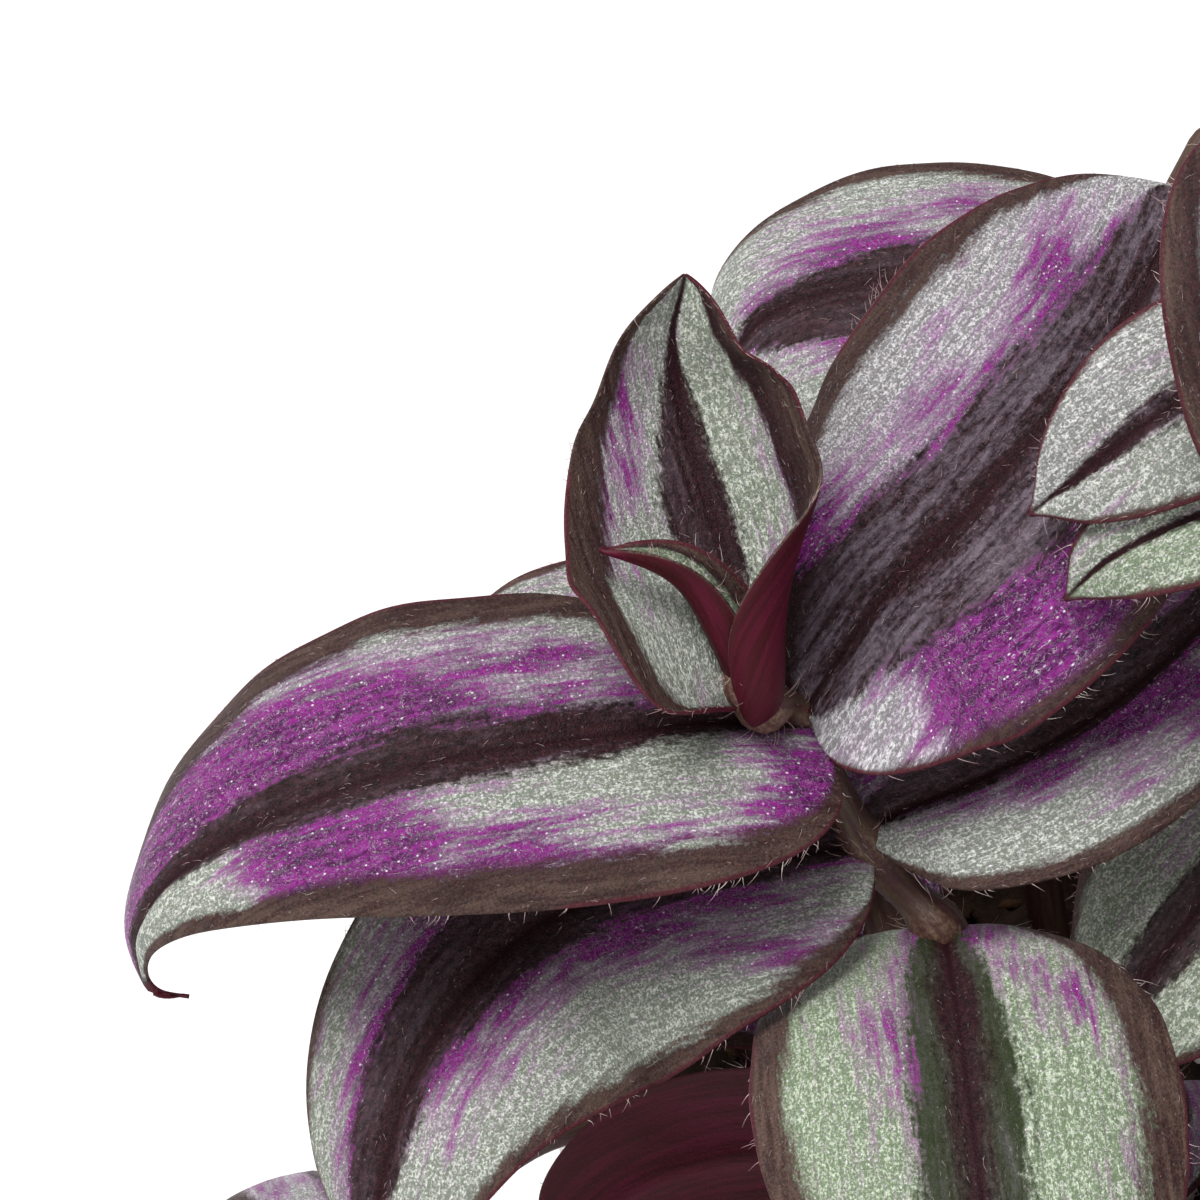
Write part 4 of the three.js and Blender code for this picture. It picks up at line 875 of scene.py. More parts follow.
def add_hairs(bundle, roots, ways, bends, lengths, radius):
    """Add tapered three-sided hairs that curve from ways towards bends."""
    ways, bends = unit(ways), unit(bends)
    reach = HAIR_STEPS[None, :, None] * lengths[:, None, None]
    lean = (HAIR_STEPS ** 2)[None, :, None] * lengths[:, None, None] * HAIR_BEND
    course = roots[:, None] + ways[:, None] * reach + bends[:, None] * lean
    side = unit(np.cross(ways, bends + HAIR_TWIST))
    other = np.cross(ways, side)
    thin = radius * (1 - HAIR_TAPER * HAIR_STEPS)
    rings = []
    for angle in ring_angles(3):
        offset = side * math.cos(angle) + other * math.sin(angle)
        rings.append(course + offset[:, None] * thin[None, :, None])
    size = 3 * len(HAIR_STEPS)
    first = (np.arange(len(roots)) * size)[:, None, None]
    faces = ring_faces(len(HAIR_STEPS), 3) + first
    caps = np.array([[2, 1, 0], [size - 3, size - 2, size - 1]]) + first
    bundle.add(np.stack(rings, 2).reshape(-1, 3), faces.reshape(-1, 4), caps=caps.reshape(-1, 3))


def varied(mean_and_spread, count):
    """Column of random weights for that many hairs."""
    return rng.normal(*mean_and_spread, (count, 1))


def rim_hairs(bundle, blade, spacing, radius):
    """Cilia in tufts along both margins of a blade, leaning to its tip."""
    for rim, way in zip(blade["rims"], blade["rim_ways"]):
        run = run_along(rim)
        reach = run[-1] * RIM_HAIR_END
        count = max(2, int(run[-1] / spacing))
        tufts = rng.uniform(0, reach, (count + TUFT_SIZE - 1) // TUFT_SIZE)
        wanted = tufts[rng.integers(0, len(tufts), count)] + rng.normal(0, TUFT_SPREAD, count)
        wanted = np.sort(np.clip(wanted, 0, reach))
        near = np.clip(np.searchsorted(run, wanted), 1, len(run) - 1)
        along = unit(rim[near] - rim[near - 1])
        normal = blade["normals"][near, 0]
        ways = way[near] + along * varied(RIM_LEAN, count) + normal * varied(RIM_LIFT, count)
        bends = along * varied(RIM_BEND, count) + normal * varied(RIM_CURL, count)
        lengths = rng.uniform(*RIM_HAIR_LENGTHS, count)
        lengths = lengths + (rng.uniform(0, 1, count) > LONG_HAIR_FROM) * LONG_HAIR_EXTRA
        roots = sampled(rim, run, wanted) - unit(ways) * RIM_HAIR_SINK
        add_hairs(bundle, roots, ways, bends, lengths, radius)


def face_hairs(bundle, blade, area, radius):
    """Sparse short hairs over a blade's upper face."""
    grid, upper = blade["grid"], blade["upper"]
    down = np.linalg.norm(grid[1:, :-1] - grid[:-1, :-1], axis=2)
    wide = np.linalg.norm(grid[:-1, 1:] - grid[:-1, :-1], axis=2)
    cells = (down * wide).ravel()
    count = int(cells.sum() / area)
    picked = rng.choice(len(cells), count, p=cells / cells.sum())
    row, column = np.divmod(picked, grid.shape[1] - 1)
    part, share = rng.uniform(0, 1, (count, 1)), rng.uniform(0, 1, (count, 1))
    near = upper[row, column] * (1 - part) + upper[row, column + 1] * part
    far = upper[row + 1, column] * (1 - part) + upper[row + 1, column + 1] * part
    along = unit(far - near)
    normal = blade["normals"][row, column]
    sideways = np.cross(along, normal)
    ways = normal * rng.uniform(*FACE_RISES, (count, 1)) + along + sideways * varied(FACE_SWAY, count)
    bends = along * FACE_BEND - normal * FACE_DROOP + sideways * varied(FACE_CURL, count)
    roots = near * (1 - share) + far * share - normal * FACE_HAIR_SINK
    add_hairs(bundle, roots, ways, bends, rng.uniform(*FACE_HAIR_LENGTHS, count), radius)


def add_stem(bundle, shoot):
    """Add a stem with a swelling where each leaf's sheath ends."""
    leaves = shoot["placed"] + shoot["grown"]
    nodes = sorted(distance_along(shoot["course"], np.asarray(leaf["spine"][0])) for leaf in leaves)
    count = int(shoot["course"]["length"] / STEM_RING_SPACING)
    places, length = even_points(shoot["stem"], count)
    tangents = tangents_of(places)
    distance = np.arange(count + 1) / count * length
    swell = np.zeros(count + 1)
    for node in nodes:
        apart = distance - node
        reach = np.where(apart < 0, SHEATH_REACH, SHEATH_REACH * SHEATH_SHARE_ABOVE)
        swell = np.maximum(swell, hump(apart, reach))
    radii = STEM_RADIUS + (STEM_TIP_RADIUS - STEM_RADIUS) * distance / length
    radii = radii + SHEATH_SWELL * swell
    radii[-2:] *= STEM_END_SHARES

    angles = ring_angles(STEM_FINE_SIDES)
    outward = np.array([1.0, 0, 0])
    rings, frames = [], []
    for place, tangent, radius in zip(places, tangents, radii):
        outward = unit(outward - tangent * (outward @ tangent))
        sideways = np.cross(tangent, outward)
        ribs = radius * (1 + RIB_HEIGHT * np.cos(STEM_RIBS * angles + 1))
        ring = outward * (ribs * np.cos(angles))[:, None] + sideways * (ribs * np.sin(angles))[:, None]
        rings.append(place + ring)
        frames.append((outward, sideways))
    turn, rows = np.tile(angles, count + 1), np.repeat(distance, STEM_FINE_SIDES)
    spot = np.stack([turn * 2, rows, np.repeat(swell, STEM_FINE_SIDES)], 1)
    bundle.add(
        np.vstack([np.concatenate(rings), places[:1], places[-1:] + tangents[-1:] * STEM_END_REACH]),
        ring_faces(count + 1, STEM_FINE_SIDES), caps=ring_caps(count + 1, STEM_FINE_SIDES),
        spot=np.vstack([spot, spot[:1], spot[-1:]]),
    )
    return dict(nodes=nodes, places=places, frames=np.array(frames), radii=radii,
                distance=distance, tangents=tangents)


def sheath_hairs(bundle, stem, count, radius):
    """Longer hairs round the mouth of each sheath, and a few along the stem below it."""
    for node in stem["nodes"]:
        if node < SOIL_TOP - STEM_FOOT + BARE_FOOT:
            continue
        apart = rng.normal(*SHEATH_PLACE, count) - SHEATH_DROP
        index = np.clip(np.searchsorted(stem["distance"], node + apart), 0, len(stem["places"]) - 1)
        angles = rng.uniform(0, 2 * math.pi, (count, 1))
        outward, sideways = stem["frames"][index].transpose(1, 0, 2)
        away = outward * np.cos(angles) + sideways * np.sin(angles)
        roots = stem["places"][index] + away * (stem["radii"][index, None] - SHEATH_HAIR_SINK)
        ways = away + stem["tangents"][index] * rng.uniform(*SHEATH_LEANS, (count, 1))
        bends = stem["tangents"][index] + away * varied(SHEATH_CURL, count)
        add_hairs(bundle, roots, ways, bends, rng.uniform(*SHEATH_HAIR_LENGTHS, count), radius)


# ---- Materials ----

def rgb(red, green, blue):
    """Linear colour from its sRGB numbers, 0 to 255."""
    parts = [value / 255 for value in (red, green, blue)]
    parts = [p / 12.92 if p <= 0.04045 else ((p + 0.055) / 1.055) ** 2.4 for p in parts]
    return (*parts, 1.0)


class Shader:
    """Node material, built with a short call for each node. Colours are sRGB numbers."""

    def __init__(self, name):
        self.material = bpy.data.materials.new(name)
        self.material.use_nodes = True
        self.tree = self.material.node_tree
        self.tree.nodes.clear()

    def node(self, kind, values=(), **settings):
        made = self.tree.nodes.new(kind)
        for key, value in settings.items():
            setattr(made, key, value)
        for key, value in dict(values).items():
            if isinstance(value, bpy.types.NodeSocket):
                self.tree.links.new(value, made.inputs[key])
            else:
                made.inputs[key].default_value = value
        return made

    def math(self, operation, *values):
        return self.node("ShaderNodeMath", enumerate(values), operation=operation).outputs[0]

    def times(self, *values):
        """Product of the values."""
        product = values[0]
        for value in values[1:]:
            product = self.math("MULTIPLY", product, value)
        return product

    def sum(self, total, *terms):
        """Total plus each term's value times its weight."""
        for value, weight in terms:
            total = self.math("MULTIPLY_ADD", value, weight, total)
        return total

    def step(self, value, low, high, start=0.0, end=1.0):
        """Smooth change from start to end as the value goes from low to high."""
        values = {"Value": value, "From Min": low, "From Max": high, "To Min": start, "To Max": end}
        return self.node("ShaderNodeMapRange", values, interpolation_type="SMOOTHSTEP").outputs[0]

    def mix(self, share, *colours):
        """Colour between two, each its sRGB numbers or a socket."""
        first, second = [rgb(*c) if isinstance(c, tuple) else c for c in colours]
        values = {0: share, 6: first, 7: second}
        return self.node("ShaderNodeMix", values, data_type="RGBA").outputs[2]

    def parts(self, name):
        """The three parts of a painted value."""
        vector = self.node("ShaderNodeAttribute", attribute_name=name).outputs["Vector"]
        return self.node("ShaderNodeSeparateXYZ", {0: vector}).outputs[:]

    def vector(self, x, y, z):
        return self.node("ShaderNodeCombineXYZ", {0: x, 1: y, 2: z}).outputs[0]

    def noise(self, vector, scale, detail=2.0, roughness=0.5, distortion=0.0):
        values = {"Vector": vector, "Scale": scale, "Detail": detail, "Roughness": roughness,
                  "Distortion": distortion}
        return self.node("ShaderNodeTexNoise", values).outputs[0]

    def cells(self, vector, scale):
        """Distance from the nearest cell's middle, and a random number for each cell."""
        node = self.node("ShaderNodeTexVoronoi", {"Vector": vector, "Scale": scale})
        chance = self.node("ShaderNodeSeparateXYZ", {0: node.outputs["Color"]}).outputs[0]
        return node.outputs["Distance"], chance

    def object_place(self):
        """Place on the part in mm."""
        place = self.node("ShaderNodeTexCoord").outputs["Object"]
        values = {0: place, "Scale": 1 / MM}
        return self.node("ShaderNodeVectorMath", values, operation="SCALE").outputs[0]

    def finish(self, colour, roughness, height=None, distance=0.05, **settings):
        """Principled surface from a colour and a height in mm."""
        values = {"Base Color": colour, "Roughness": roughness}
        values.update({name.replace("_", " "): value for name, value in settings.items()})
        if height is not None:
            bump = self.node("ShaderNodeBump", {"Height": height, "Distance": distance * MM})
            values["Normal"] = bump.outputs[0]
        surface = self.node("ShaderNodeBsdfPrincipled", values)
        self.node("ShaderNodeOutputMaterial", {"Surface": surface.outputs[0]})
        return self.material


def upper_material():
    """Upper face of a leaf: dark bands, silver stripes flushed with purple, fine bright flecks and
    painted sparkle highlights.
    """
    s = Shader("leaf_upper")
    width, along, seed = s.parts("spot")
    out, _, half = s.parts("form")
    flush, inner, outer = s.parts("stripe")
    light, green, lean = s.parts("tone")
    side = s.sum(seed, (s.math("SIGN", width), 7.3))
    from_midrib = s.math("ABSOLUTE", width)

    def drawn(across, down, detail, roughness, distortion=0.0):
        """Noise about 0, stretched along the blade; across and down are its pitches per mm."""
        place = s.vector(s.times(width, across), s.times(along, down), side)
        return s.math("SUBTRACT", s.noise(place, 1.0, detail, roughness, distortion), 0.5)

    streaks = drawn(1.6, 0.2, 4.0, 0.6, distortion=0.3)
    patches = drawn(0.3, 0.1, 2.0, 0.5)
    grain = drawn(2.6, 1.7, 3.0, 0.7, distortion=0.5)
    fine = drawn(5.6, 4.4, 2.0, 0.7)

    # Where the light stripe lies across the half, with a ragged, grainy edge.
    ragged = s.sum(out, (streaks, 0.2), (grain, 0.14), (patches, 0.14))
    depth = s.math("SUBTRACT", ragged, inner)
    start = s.step(depth, -0.05, 0.05)
    end = s.step(s.math("SUBTRACT", ragged, outer), -0.06, 0.05, 1.0, 0.0)
    stripe = s.times(start, end, light)

    # Purple by the flush, to the side that it leans to, in streaks and grain.
    depth = s.math("DIVIDE", depth, s.math("SUBTRACT", outer, inner))
    leaning = (s.math("SUBTRACT", depth, 0.5), s.times(lean, 0.62))
    purple = s.sum(flush, leaning, (patches, 1.3), (streaks, 1.4), (grain, 0.6))
    purple = s.step(purple, 0.05, 0.72)

    # Fine flecks: the silver's own bright specks, and painted sparkle highlights as thin lines like
    # lying hairs and as dots on cells.
    strokes = drawn(4.4, 1.1, 3.0, 0.7, distortion=0.6)
    speck = s.step(s.sum(fine, (grain, 0.5), (strokes, 0.55)), -0.06, 0.16)
    spots, chance = s.cells(s.vector(width, s.times(along, 0.8), side), 2.6)
    dots = s.times(s.step(spots, 0.27, 0.1), s.step(chance, 0.6, 0.85))
    lines = s.step(s.math("ABSOLUTE", drawn(1.7, 1.3, 3.0, 0.6, distortion=1.8)), 0.02, 0.0)
    painted_glints = s.math("MAXIMUM", s.times(lines, 0.8), dots)

    # The stripe's silver, greener or greyer by the leaf, with veins, and its purple.
    veins = s.math("SINE", s.sum(s.times(width, 7.0), (streaks, 3.0)))
    leafy = s.mix(green, (140, 133, 142), (118, 136, 104))
    silver = s.mix(green, (250, 246, 250), (228, 238, 216))
    vein_colour = s.mix(green, (110, 98, 108), (92, 106, 80))
    pale = s.mix(s.times(speck, 0.75), leafy, silver)
    pale = s.mix(s.step(veins, 0.5, 1.0, 0.0, 0.3), pale, vein_colour)
    violet = s.mix(s.step(s.sum(streaks, (grain, 0.7)), -0.14, 0.16), (70, 4, 68), (134, 24, 126))
    violet = s.mix(s.times(speck, 0.18), violet, (178, 104, 180))
    violet = s.mix(s.step(purple, 1.0, 0.2, 0.0, 0.6), violet, (190, 138, 194))
    lit = s.mix(purple, pale, violet)

    # Dark bands: wine brown, olive at the margin, green by the midrib of very green leaves, and
    # a grey bloom beside the midrib, strongest on the leaves without green: partly the leaf's own
    # grey-lilac tone, partly painted sheen.
    dark = s.mix(s.step(grain, -0.2, 0.2), (24, 5, 10), (58, 24, 30))
    mottle = s.step(s.sum(streaks, (fine, 0.7)), -0.2, 0.2)
    olive = s.times(s.step(out, 0.6, 0.95), s.math("MULTIPLY_ADD", green, 0.4, 0.3))
    dark = s.mix(olive, dark, s.mix(mottle, (60, 38, 34), (116, 94, 82)))
    fresh = s.times(s.step(green, 0.75, 0.95), s.step(ragged, 0.04, 0.16), s.step(out, 0.6, 0.35))
    dark = s.mix(fresh, dark, (44, 54, 26))
    bloom_and_sheen = s.times(s.step(out, 0.5, 0.32), s.step(ragged, 0.04, 0.17),
                    s.step(green, 0.5, 0.1, 0.25, 1.0),
                    s.step(s.sum(streaks, (grain, 0.6)), -0.2, 0.26), 0.72)
    dark = s.mix(bloom_and_sheen, dark, (142, 128, 142))
    colour = s.mix(stripe, dark, lit)
    # Painted highlights: near-white sparkle over the stripes, faint on the dark bands.
    colour = s.mix(s.times(painted_glints, s.step(stripe, 0.0, 1.0, 0.1, 0.85)), colour, (244, 236, 244))

    # Midrib line and thin red margin.
    colour = s.mix(s.times(s.step(from_midrib, 0.34, 0.1), 0.9), colour, (40, 8, 18))
    rim = s.step(s.math("SUBTRACT", half, from_midrib), 0.36, 0.1)
    colour = s.mix(s.times(rim, 0.8), colour, (88, 30, 44))

    height = s.sum(grain, (veins, -0.2), (fine, 1.3), (painted_glints, 0.5))
    return s.finish(colour, s.step(stripe, 0.0, 1.0, 0.5, 0.36), height, 0.11, Specular_IOR_Level=0.2)


def under_material():
    """Under side of a leaf: deep maroon to magenta, with faint veins."""
    s = Shader("leaf_under")
    width, along, seed = s.parts("spot")
    out = s.parts("form")[0]
    streaks = s.noise(s.vector(s.times(width, 1.6), s.times(along, 0.14), seed), 1.0, 4.0, 0.6)
    fine = s.noise(s.vector(width, along, seed), 4.5, 3.0, 0.7)
    colour = s.mix(s.step(streaks, 0.32, 0.68), (60, 10, 18), (86, 15, 40))
    colour = s.mix(s.step(fine, 0.58, 0.75, 0.0, 0.25), colour, (108, 46, 66))
    colour = s.mix(s.step(out, 0.9, 1.0, 0.0, 0.5), colour, (74, 30, 36))
    return s.finish(colour, 0.46, s.sum(streaks, (fine, 0.8)), 0.08, Specular_IOR_Level=0.14)


def stem_material():
    """Stem: maroon and green streaks, paler and papery at the sheaths."""
    s = Shader("stem")
    turn, along, swell = s.parts("spot")
    streaks = s.noise(s.vector(s.times(turn, 0.9), s.times(along, 0.12), 0.0), 1.0, 4.0, 0.6)
    fine = s.noise(s.vector(turn, along, 0.0), 3.0, 3.0, 0.7)
    colour = s.mix(s.step(streaks, 0.36, 0.64), (66, 24, 32), (84, 66, 48))
    papery = s.mix(s.step(fine, 0.4, 0.62), (92, 56, 48), (138, 112, 92))
    colour = s.mix(s.times(swell, s.step(streaks, 0.4, 0.6, 0.25, 0.8)), colour, papery)
    colour = s.mix(s.step(fine, 0.6, 0.74, 0.0, 0.3), colour, (150, 104, 98))
    return s.finish(colour, 0.5, s.sum(streaks, (fine, 0.6)), 0.12)


def hair_material():
    s = Shader("hair")
    tint = s.noise(s.object_place(), 0.3, 1.0)
    return s.finish(s.mix(s.step(tint, 0.4, 0.6), (206, 170, 172), (232, 214, 208)), 0.35)


def soil_material(name, dark, light, pale):
    """Soil, bark or perlite: two mottled colours with paler grains."""
    s = Shader(name)
    place = s.object_place()
    coarse = s.noise(place, 0.35, 5.0, 0.65)
    fine = s.noise(place, 2.2, 4.0, 0.7)
    colour = s.mix(s.step(coarse, 0.35, 0.65), dark, light)
    colour = s.mix(s.step(fine, 0.62, 0.72, 0.0, 0.6), colour, pale)
    return s.finish(colour, 0.95, s.math("ADD", coarse, fine), 0.6, Specular_IOR_Level=0.25)


def pot_material():
    s = Shader("pot_white")
    place = s.object_place()
    fine = s.noise(place, 0.9, 3.0)
    colour = s.mix(s.step(s.noise(place, 0.02, 2.0), 0.3, 0.7), (232, 231, 227), (238, 237, 234))
    return s.finish(colour, s.step(fine, 0.3, 0.7, 0.26, 0.34), fine, 0.012)


def floor_material():
    s = Shader("floor_pale")
    tint = s.noise(s.object_place(), 0.004, 2.0)
    return s.finish(s.mix(tint, (244, 244, 244), (247, 247, 247)), 0.85, Specular_IOR_Level=0.1)


# ---- Pot, soil and floor ----

BAND_FOOT = POT_HEIGHT - POT_BAND_HEIGHT


def pot_radius_at(height):
    """Radius of the pot's outer wall at a height below its band."""
    return POT_FOOT_RADIUS + (POT_BAND_RADIUS - POT_LEDGE - POT_FOOT_RADIUS) * height / BAND_FOOT


def rounded(profile, corners):
    """Profile with its listed corners rounded: index to radius."""
    points = []
    for index, point in enumerate(profile):
        point = np.array(point, float)
        if index not in corners:
            points.append(point)
            continue
        start, end = [point + unit(np.array(profile[index + way], float) - point) * corners[index]
                      for way in (-1, 1)]
        for t in np.linspace(0, 1, ARC_POINTS):
            points.append(start * (1 - t) ** 2 + 2 * point * t * (1 - t) + end * t * t)
    return np.array(points)


def lathed(profile, sides):
    """Vertices and faces of an open profile turned about Z."""
    angles = ring_angles(sides)
    circle = np.stack([np.cos(angles), np.sin(angles)], 1)
    rings = [np.column_stack([circle * radius, np.full(sides, height)]) for radius, height in profile]
    return np.concatenate(rings), ring_faces(len(profile), sides)


def circle_points(radius, sides, centre=(0, 0)):
    x, y = centre
    return [(x + radius * math.cos(a), y + radius * math.sin(a)) for a in ring_angles(sides)]


def drained_disc(centres):
    """Flat triangles of the pot's floor, out to its foot's ring, around the drain holes."""
    points, edges = [], []
    outlines = [circle_points(POT_DISC_RADIUS, POT_FINE_SIDES)]
    outlines += [circle_points(DRAIN_RADIUS, HOLE_SIDES, centre) for centre in centres]
    for ring in outlines:
        base, sides = len(points), len(ring)
        points += ring
        edges += [(base + side, base + (side + 1) % sides) for side in range(sides)]
    flat = delaunay_2d_cdt([Vector(p) for p in points], edges, [], 0, FLAT_TOLERANCE)
    corners = np.array([tuple(p) for p in flat[0]])
    kept = []
    for face in flat[2]:
        middle = corners[list(face)].mean(0)
        if all(math.hypot(*(middle - centre)) > DRAIN_RADIUS * HOLE_EDGE_SHARE for centre in centres):
            kept.append(list(face))
    return corners, np.array(kept)


def pot_piece():
    """White pot with a band under its rounded rim, and drain holes through its floor."""
    inner_rim = POT_RIM_RADIUS - POT_WALL
    profile = [
        (POT_DISC_RADIUS, 0), (POT_FOOT_RADIUS, 0), (pot_radius_at(BAND_FOOT), BAND_FOOT),
        (POT_BAND_RADIUS, BAND_FOOT + LEDGE_SLOPE), (POT_RIM_RADIUS, POT_HEIGHT - RIM_EDGE),
        (POT_RIM_RADIUS, POT_HEIGHT), (inner_rim, POT_HEIGHT), (inner_rim, POT_HEIGHT - RIM_LIP),
        (pot_radius_at(BAND_FOOT) - POT_WALL, BAND_FOOT),
        (pot_radius_at(POT_FLOOR) - POT_WALL, POT_FLOOR), (POT_DISC_RADIUS, POT_FLOOR),
    ]
    corners = {1: 1.0, 2: 0.8, 3: 1.2, 5: 0.9, 6: 0.9, 8: 1.5, 9: 0.6}
    bundle = Bundle()
    bundle.add(*lathed(rounded(profile, corners), POT_FINE_SIDES))
    centres = circle_points(DRAIN_RING, DRAIN_HOLES)
    flat, faces = drained_disc(centres)
    for height, turned in ((0, faces[:, ::-1]), (POT_FLOOR, faces)):
        bundle.add(np.column_stack([flat, np.full(len(flat), height)]), turned)
    for centre in centres:
        wall, wall_faces = lathed([(DRAIN_RADIUS, 0), (DRAIN_RADIUS, POT_FLOOR)], HOLE_SIDES)
        bundle.add(wall + [*centre, 0], wall_faces[:, ::-1])
    weld(bundle.piece("pot_fine", [pot_material()], ["pot"], "pot"))


def weld(piece):
    """Join vertices at the same place and turn all faces outward; keep hard edges crisp."""
    shape = bmesh.new()
    shape.from_mesh(piece.data)
    bmesh.ops.remove_doubles(shape, verts=shape.verts, dist=WELD_DISTANCE * MM)
    bmesh.ops.recalc_face_normals(shape, faces=shape.faces)
    for edge in shape.edges:
        if len(edge.link_faces) == 2 and edge.calc_face_angle() > math.radians(CREASE_ANGLE):
            edge.smooth = False
    shape.to_mesh(piece.data)
    shape.free()


def soil_relief(x, y):
    """Height of the soil's crumbly top above its mean, by a formula."""
    return SOIL_RELIEF * (np.sin(0.31 * x + 1) * np.cos(0.27 * y) + 0.5 * np.sin(0.13 * x * y / 9 + 2))


def crumble(x, y):
    """Finer lumps over the soil's relief."""
    height = np.zeros_like(x)
    lumps = np.random.default_rng(RANDOM_SEED)
    for pitch, size in LUMP_WAVES:
        for _ in range(WAVES_PER_PITCH):
            turn, phase = lumps.uniform(0, math.pi), lumps.uniform(*WAVE_PHASES, 2)
            along = x * math.cos(turn) + y * math.sin(turn)
            aside = y * math.cos(turn) - x * math.sin(turn)
            height += size * np.sin(pitch * along + phase[0]) * np.sin(pitch * 0.8 * aside + phase[1])
    return height


def soil_piece(shoots, wide):
    """Soil with a crumbly top that dips round each stem."""
    bottom = POT_FLOOR + CLEARANCE
    foot = pot_radius_at(bottom) - POT_WALL - CLEARANCE
    levels = [(AXIS_RADIUS, bottom), (foot, bottom), (wide, BAND_FOOT), (wide, SOIL_TOP)]
    levels += [(wide * (1 - (k / SOIL_FINE_RINGS)), SOIL_TOP) for k in range(1, SOIL_FINE_RINGS)]
    levels += [(AXIS_RADIUS, SOIL_TOP)]
    vertices, faces = lathed(levels, SOIL_FINE_SIDES)
    x, y, z = vertices.T
    lift = soil_relief(x, y) + crumble(x, y)
    for shoot in shoots:
        stem = shoot["course"]["places"]
        place = stem[np.argmin(abs(stem[:, 2] - SOIL_TOP))]
        apart = np.hypot(x - place[0], y - place[1])
        lift -= SOIL_DIP * hump(apart - STEM_RADIUS, SOIL_DIP)
    vertices[:, 2] = z + np.where(z == SOIL_TOP, lift, 0)
    bundle = Bundle()
    bundle.add(vertices, faces)
    material = soil_material("soil", (34, 24, 18), (62, 45, 33), (96, 74, 56))
    weld(bundle.piece("soil_fine", [material], ["soil"], "soil"))


def crumb_pieces(wide):
    """Loose crumbs of bark and perlite on the soil."""
    bark, perlite = Bundle(), Bundle()
    scatter = np.random.default_rng(RANDOM_SEED + 1)
    ball = bmesh.new()
    bmesh.ops.create_icosphere(ball, subdivisions=2, radius=1)
    ball_points = np.array([tuple(v.co) for v in ball.verts])
    ball_faces = np.array([[v.index for v in face.verts] for face in ball.faces])
    ball.free()
    for number in range(CRUMBS):
        radius = (wide - CRUMB_EDGE) * math.sqrt(scatter.uniform())
        turn = scatter.uniform(0, 2 * math.pi)
        x, y = np.array([radius * math.cos(turn)]), np.array([radius * math.sin(turn)])
        size = scatter.uniform(*CRUMB_SIZES, 3) * [1, 1, CRUMB_FLATNESS]
        dents = np.sin(ball_points @ scatter.uniform(-4, 4, (3, 1)) + number)
        lump = ball_points * (1 + CRUMB_DENT * dents) * size
        spin = scatter.uniform(0, 2 * math.pi)
        c, s = math.cos(spin), math.sin(spin)
        across, along, up = lump.T
        lump = np.column_stack([across * c - along * s, across * s + along * c, up])
        level = SOIL_TOP + (soil_relief(x, y) + crumble(x, y))
        target = bark if number % PERLITE_EVERY else perlite
        target.add(lump + np.concatenate([x, y, level]), ball_faces)
    for name, bundle, material in (
        ("soil_crumbs", bark, soil_material("bark", (44, 30, 21), (86, 60, 40), (120, 92, 66))),
        ("soil_perlite", perlite,
         soil_material("perlite", (196, 192, 184), (222, 219, 212), (236, 234, 230))),
    ):
        bundle.piece(name, [material], ["soil"], "soil")


def soil_pieces(shoots):
    """Soil and the crumbs that lie on it."""
    wide = pot_radius_at(BAND_FOOT) - (POT_WALL + CLEARANCE)
    soil_piece(shoots, wide)
    crumb_pieces(wide)


def plain_floor():
    """Wide pale floor under the pot."""
    mesh = bpy.data.meshes.new("floor")
    reach = FLOOR_REACH * MM
    corners = [(x * reach, y * reach, 0) for x, y in ((-1, -1), (1, -1), (1, 1), (-1, 1))]
    mesh.from_pydata(corners, [], [(0, 1, 2, 3)])
    mesh.materials.append(floor_material())
    floor = bpy.data.objects.new("floor", mesh)
    bpy.context.scene.collection.objects.link(floor)


# ---- Plant ----

GROWN_PAINT_SEED = 9000
GROWN_TONES = ((0.0, 0.65), (0.8, 1.0), (0.1, 0.9))
GROWN_INNER, GROWN_OUTER = (0.2, 0.34), (0.74, 0.88)


def grown_paint(number):
    """Paint for a leaf grown by rule: its purple, light and green, then its stripe."""
    rule = np.random.default_rng(GROWN_PAINT_SEED + number)
    flush, light, green = [rule.uniform(*ends) for ends in GROWN_TONES]
    halves = []
    for _ in range(2):
        inner, outer = rule.uniform(*GROWN_INNER), rule.uniform(*GROWN_OUTER)
        halves.append((
            flush + rule.uniform(-0.12, 0.12, 3), (inner * 0.7, inner, inner * 0.8),
            (outer, outer, outer * 0.95), rule.uniform(-1.0, 0.7, 3), light, green,
        ))
    return halves


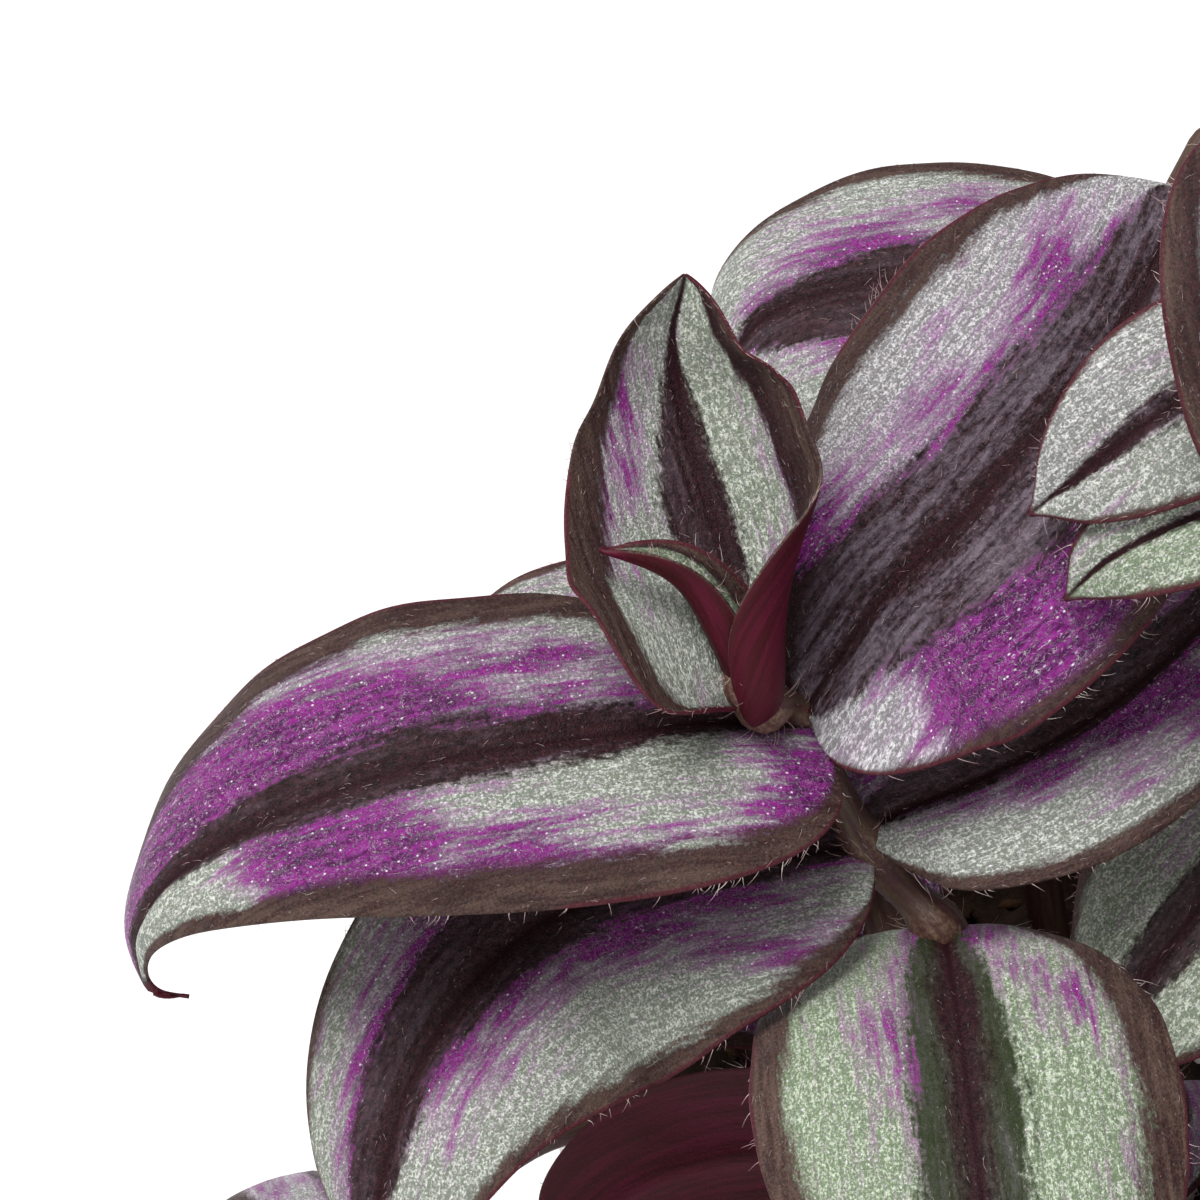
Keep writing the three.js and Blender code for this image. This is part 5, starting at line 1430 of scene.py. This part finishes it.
def plant_pieces(shoots):
    """Leaves, stem and hairs of every shoot."""
    leaf_materials = [upper_material(), under_material()]
    stem_materials, hair_materials = [stem_material()], [hair_material()]
    number = 0
    for shoot in shoots:
        leaves, stem, hairs = Bundle(), Bundle(), Bundle()
        for leaf in shoot["placed"]:
            number += 1
            blade = add_blade(leaves, leaf, PAINT[leaf["name"]], *PHOTO_BLADE, number)
            rim_hairs(hairs, blade, RIM_HAIR_SPACING, RIM_HAIR_RADIUS)
            face_hairs(hairs, blade, FACE_HAIR_AREA, FACE_HAIR_RADIUS)
        for leaf in shoot["grown"]:
            number += 1
            blade = add_blade(leaves, leaf, grown_paint(number), *OTHER_BLADE, number)
            rim_hairs(hairs, blade, GROWN_SPACING_SHARE * RIM_HAIR_SPACING, GROWN_HAIR_RADIUS)
        sheath_hairs(hairs, add_stem(stem, shoot), SHEATH_HAIRS, SHEATH_HAIR_RADIUS)
        name = shoot["name"]
        leaves.piece(name + "_leaves", leaf_materials, [name], "foliage")
        stem.piece(name + "_stem", stem_materials, [name], "foliage")
        hairs.piece(name + "_hairs", hair_materials, [name], "foliage")


# ---- Studio ----

def studio():
    """White surroundings, one broad soft light from above and a camera at the photo's angle."""
    scene = bpy.context.scene
    world = bpy.data.worlds.new("white")
    scene.world = world
    world.use_nodes = True
    world.node_tree.nodes["Background"].inputs[0].default_value = (1, 1, 1, 1)
    world.node_tree.nodes["Background"].inputs[1].default_value = SURROUND_LIGHT
    lamp = bpy.data.lights.new("key", "SUN")
    lamp.energy, lamp.angle = KEY_LIGHT, math.radians(KEY_SPREAD)
    key = bpy.data.objects.new("key", lamp)
    key.rotation_euler = Vector(KEY_FROM).to_track_quat("Z", "Y").to_euler()
    scene.collection.objects.link(key)

    data = bpy.data.cameras.new("camera")
    data.sensor_width = SENSOR_WIDTH
    data.lens = SENSOR_WIDTH * VIEW_DISTANCE / VIEW_WIDTH
    data.clip_start = 0.01
    camera = bpy.data.objects.new("camera", data)
    camera.location = (FRONT_NODE + seen_direction((*VIEW_MIDDLE, VIEW_DISTANCE))) * MM
    camera.rotation_euler = (math.pi / 2 - VIEW_TILT, 0, 0)
    scene.collection.objects.link(camera)
    scene.camera = camera
    scene.view_settings.view_transform = "Standard"
    scene.view_settings.look = "None"


all_shoots = planted_shoots()
pot_piece()
soil_pieces(all_shoots)
plant_pieces(all_shoots)
plain_floor()
studio()
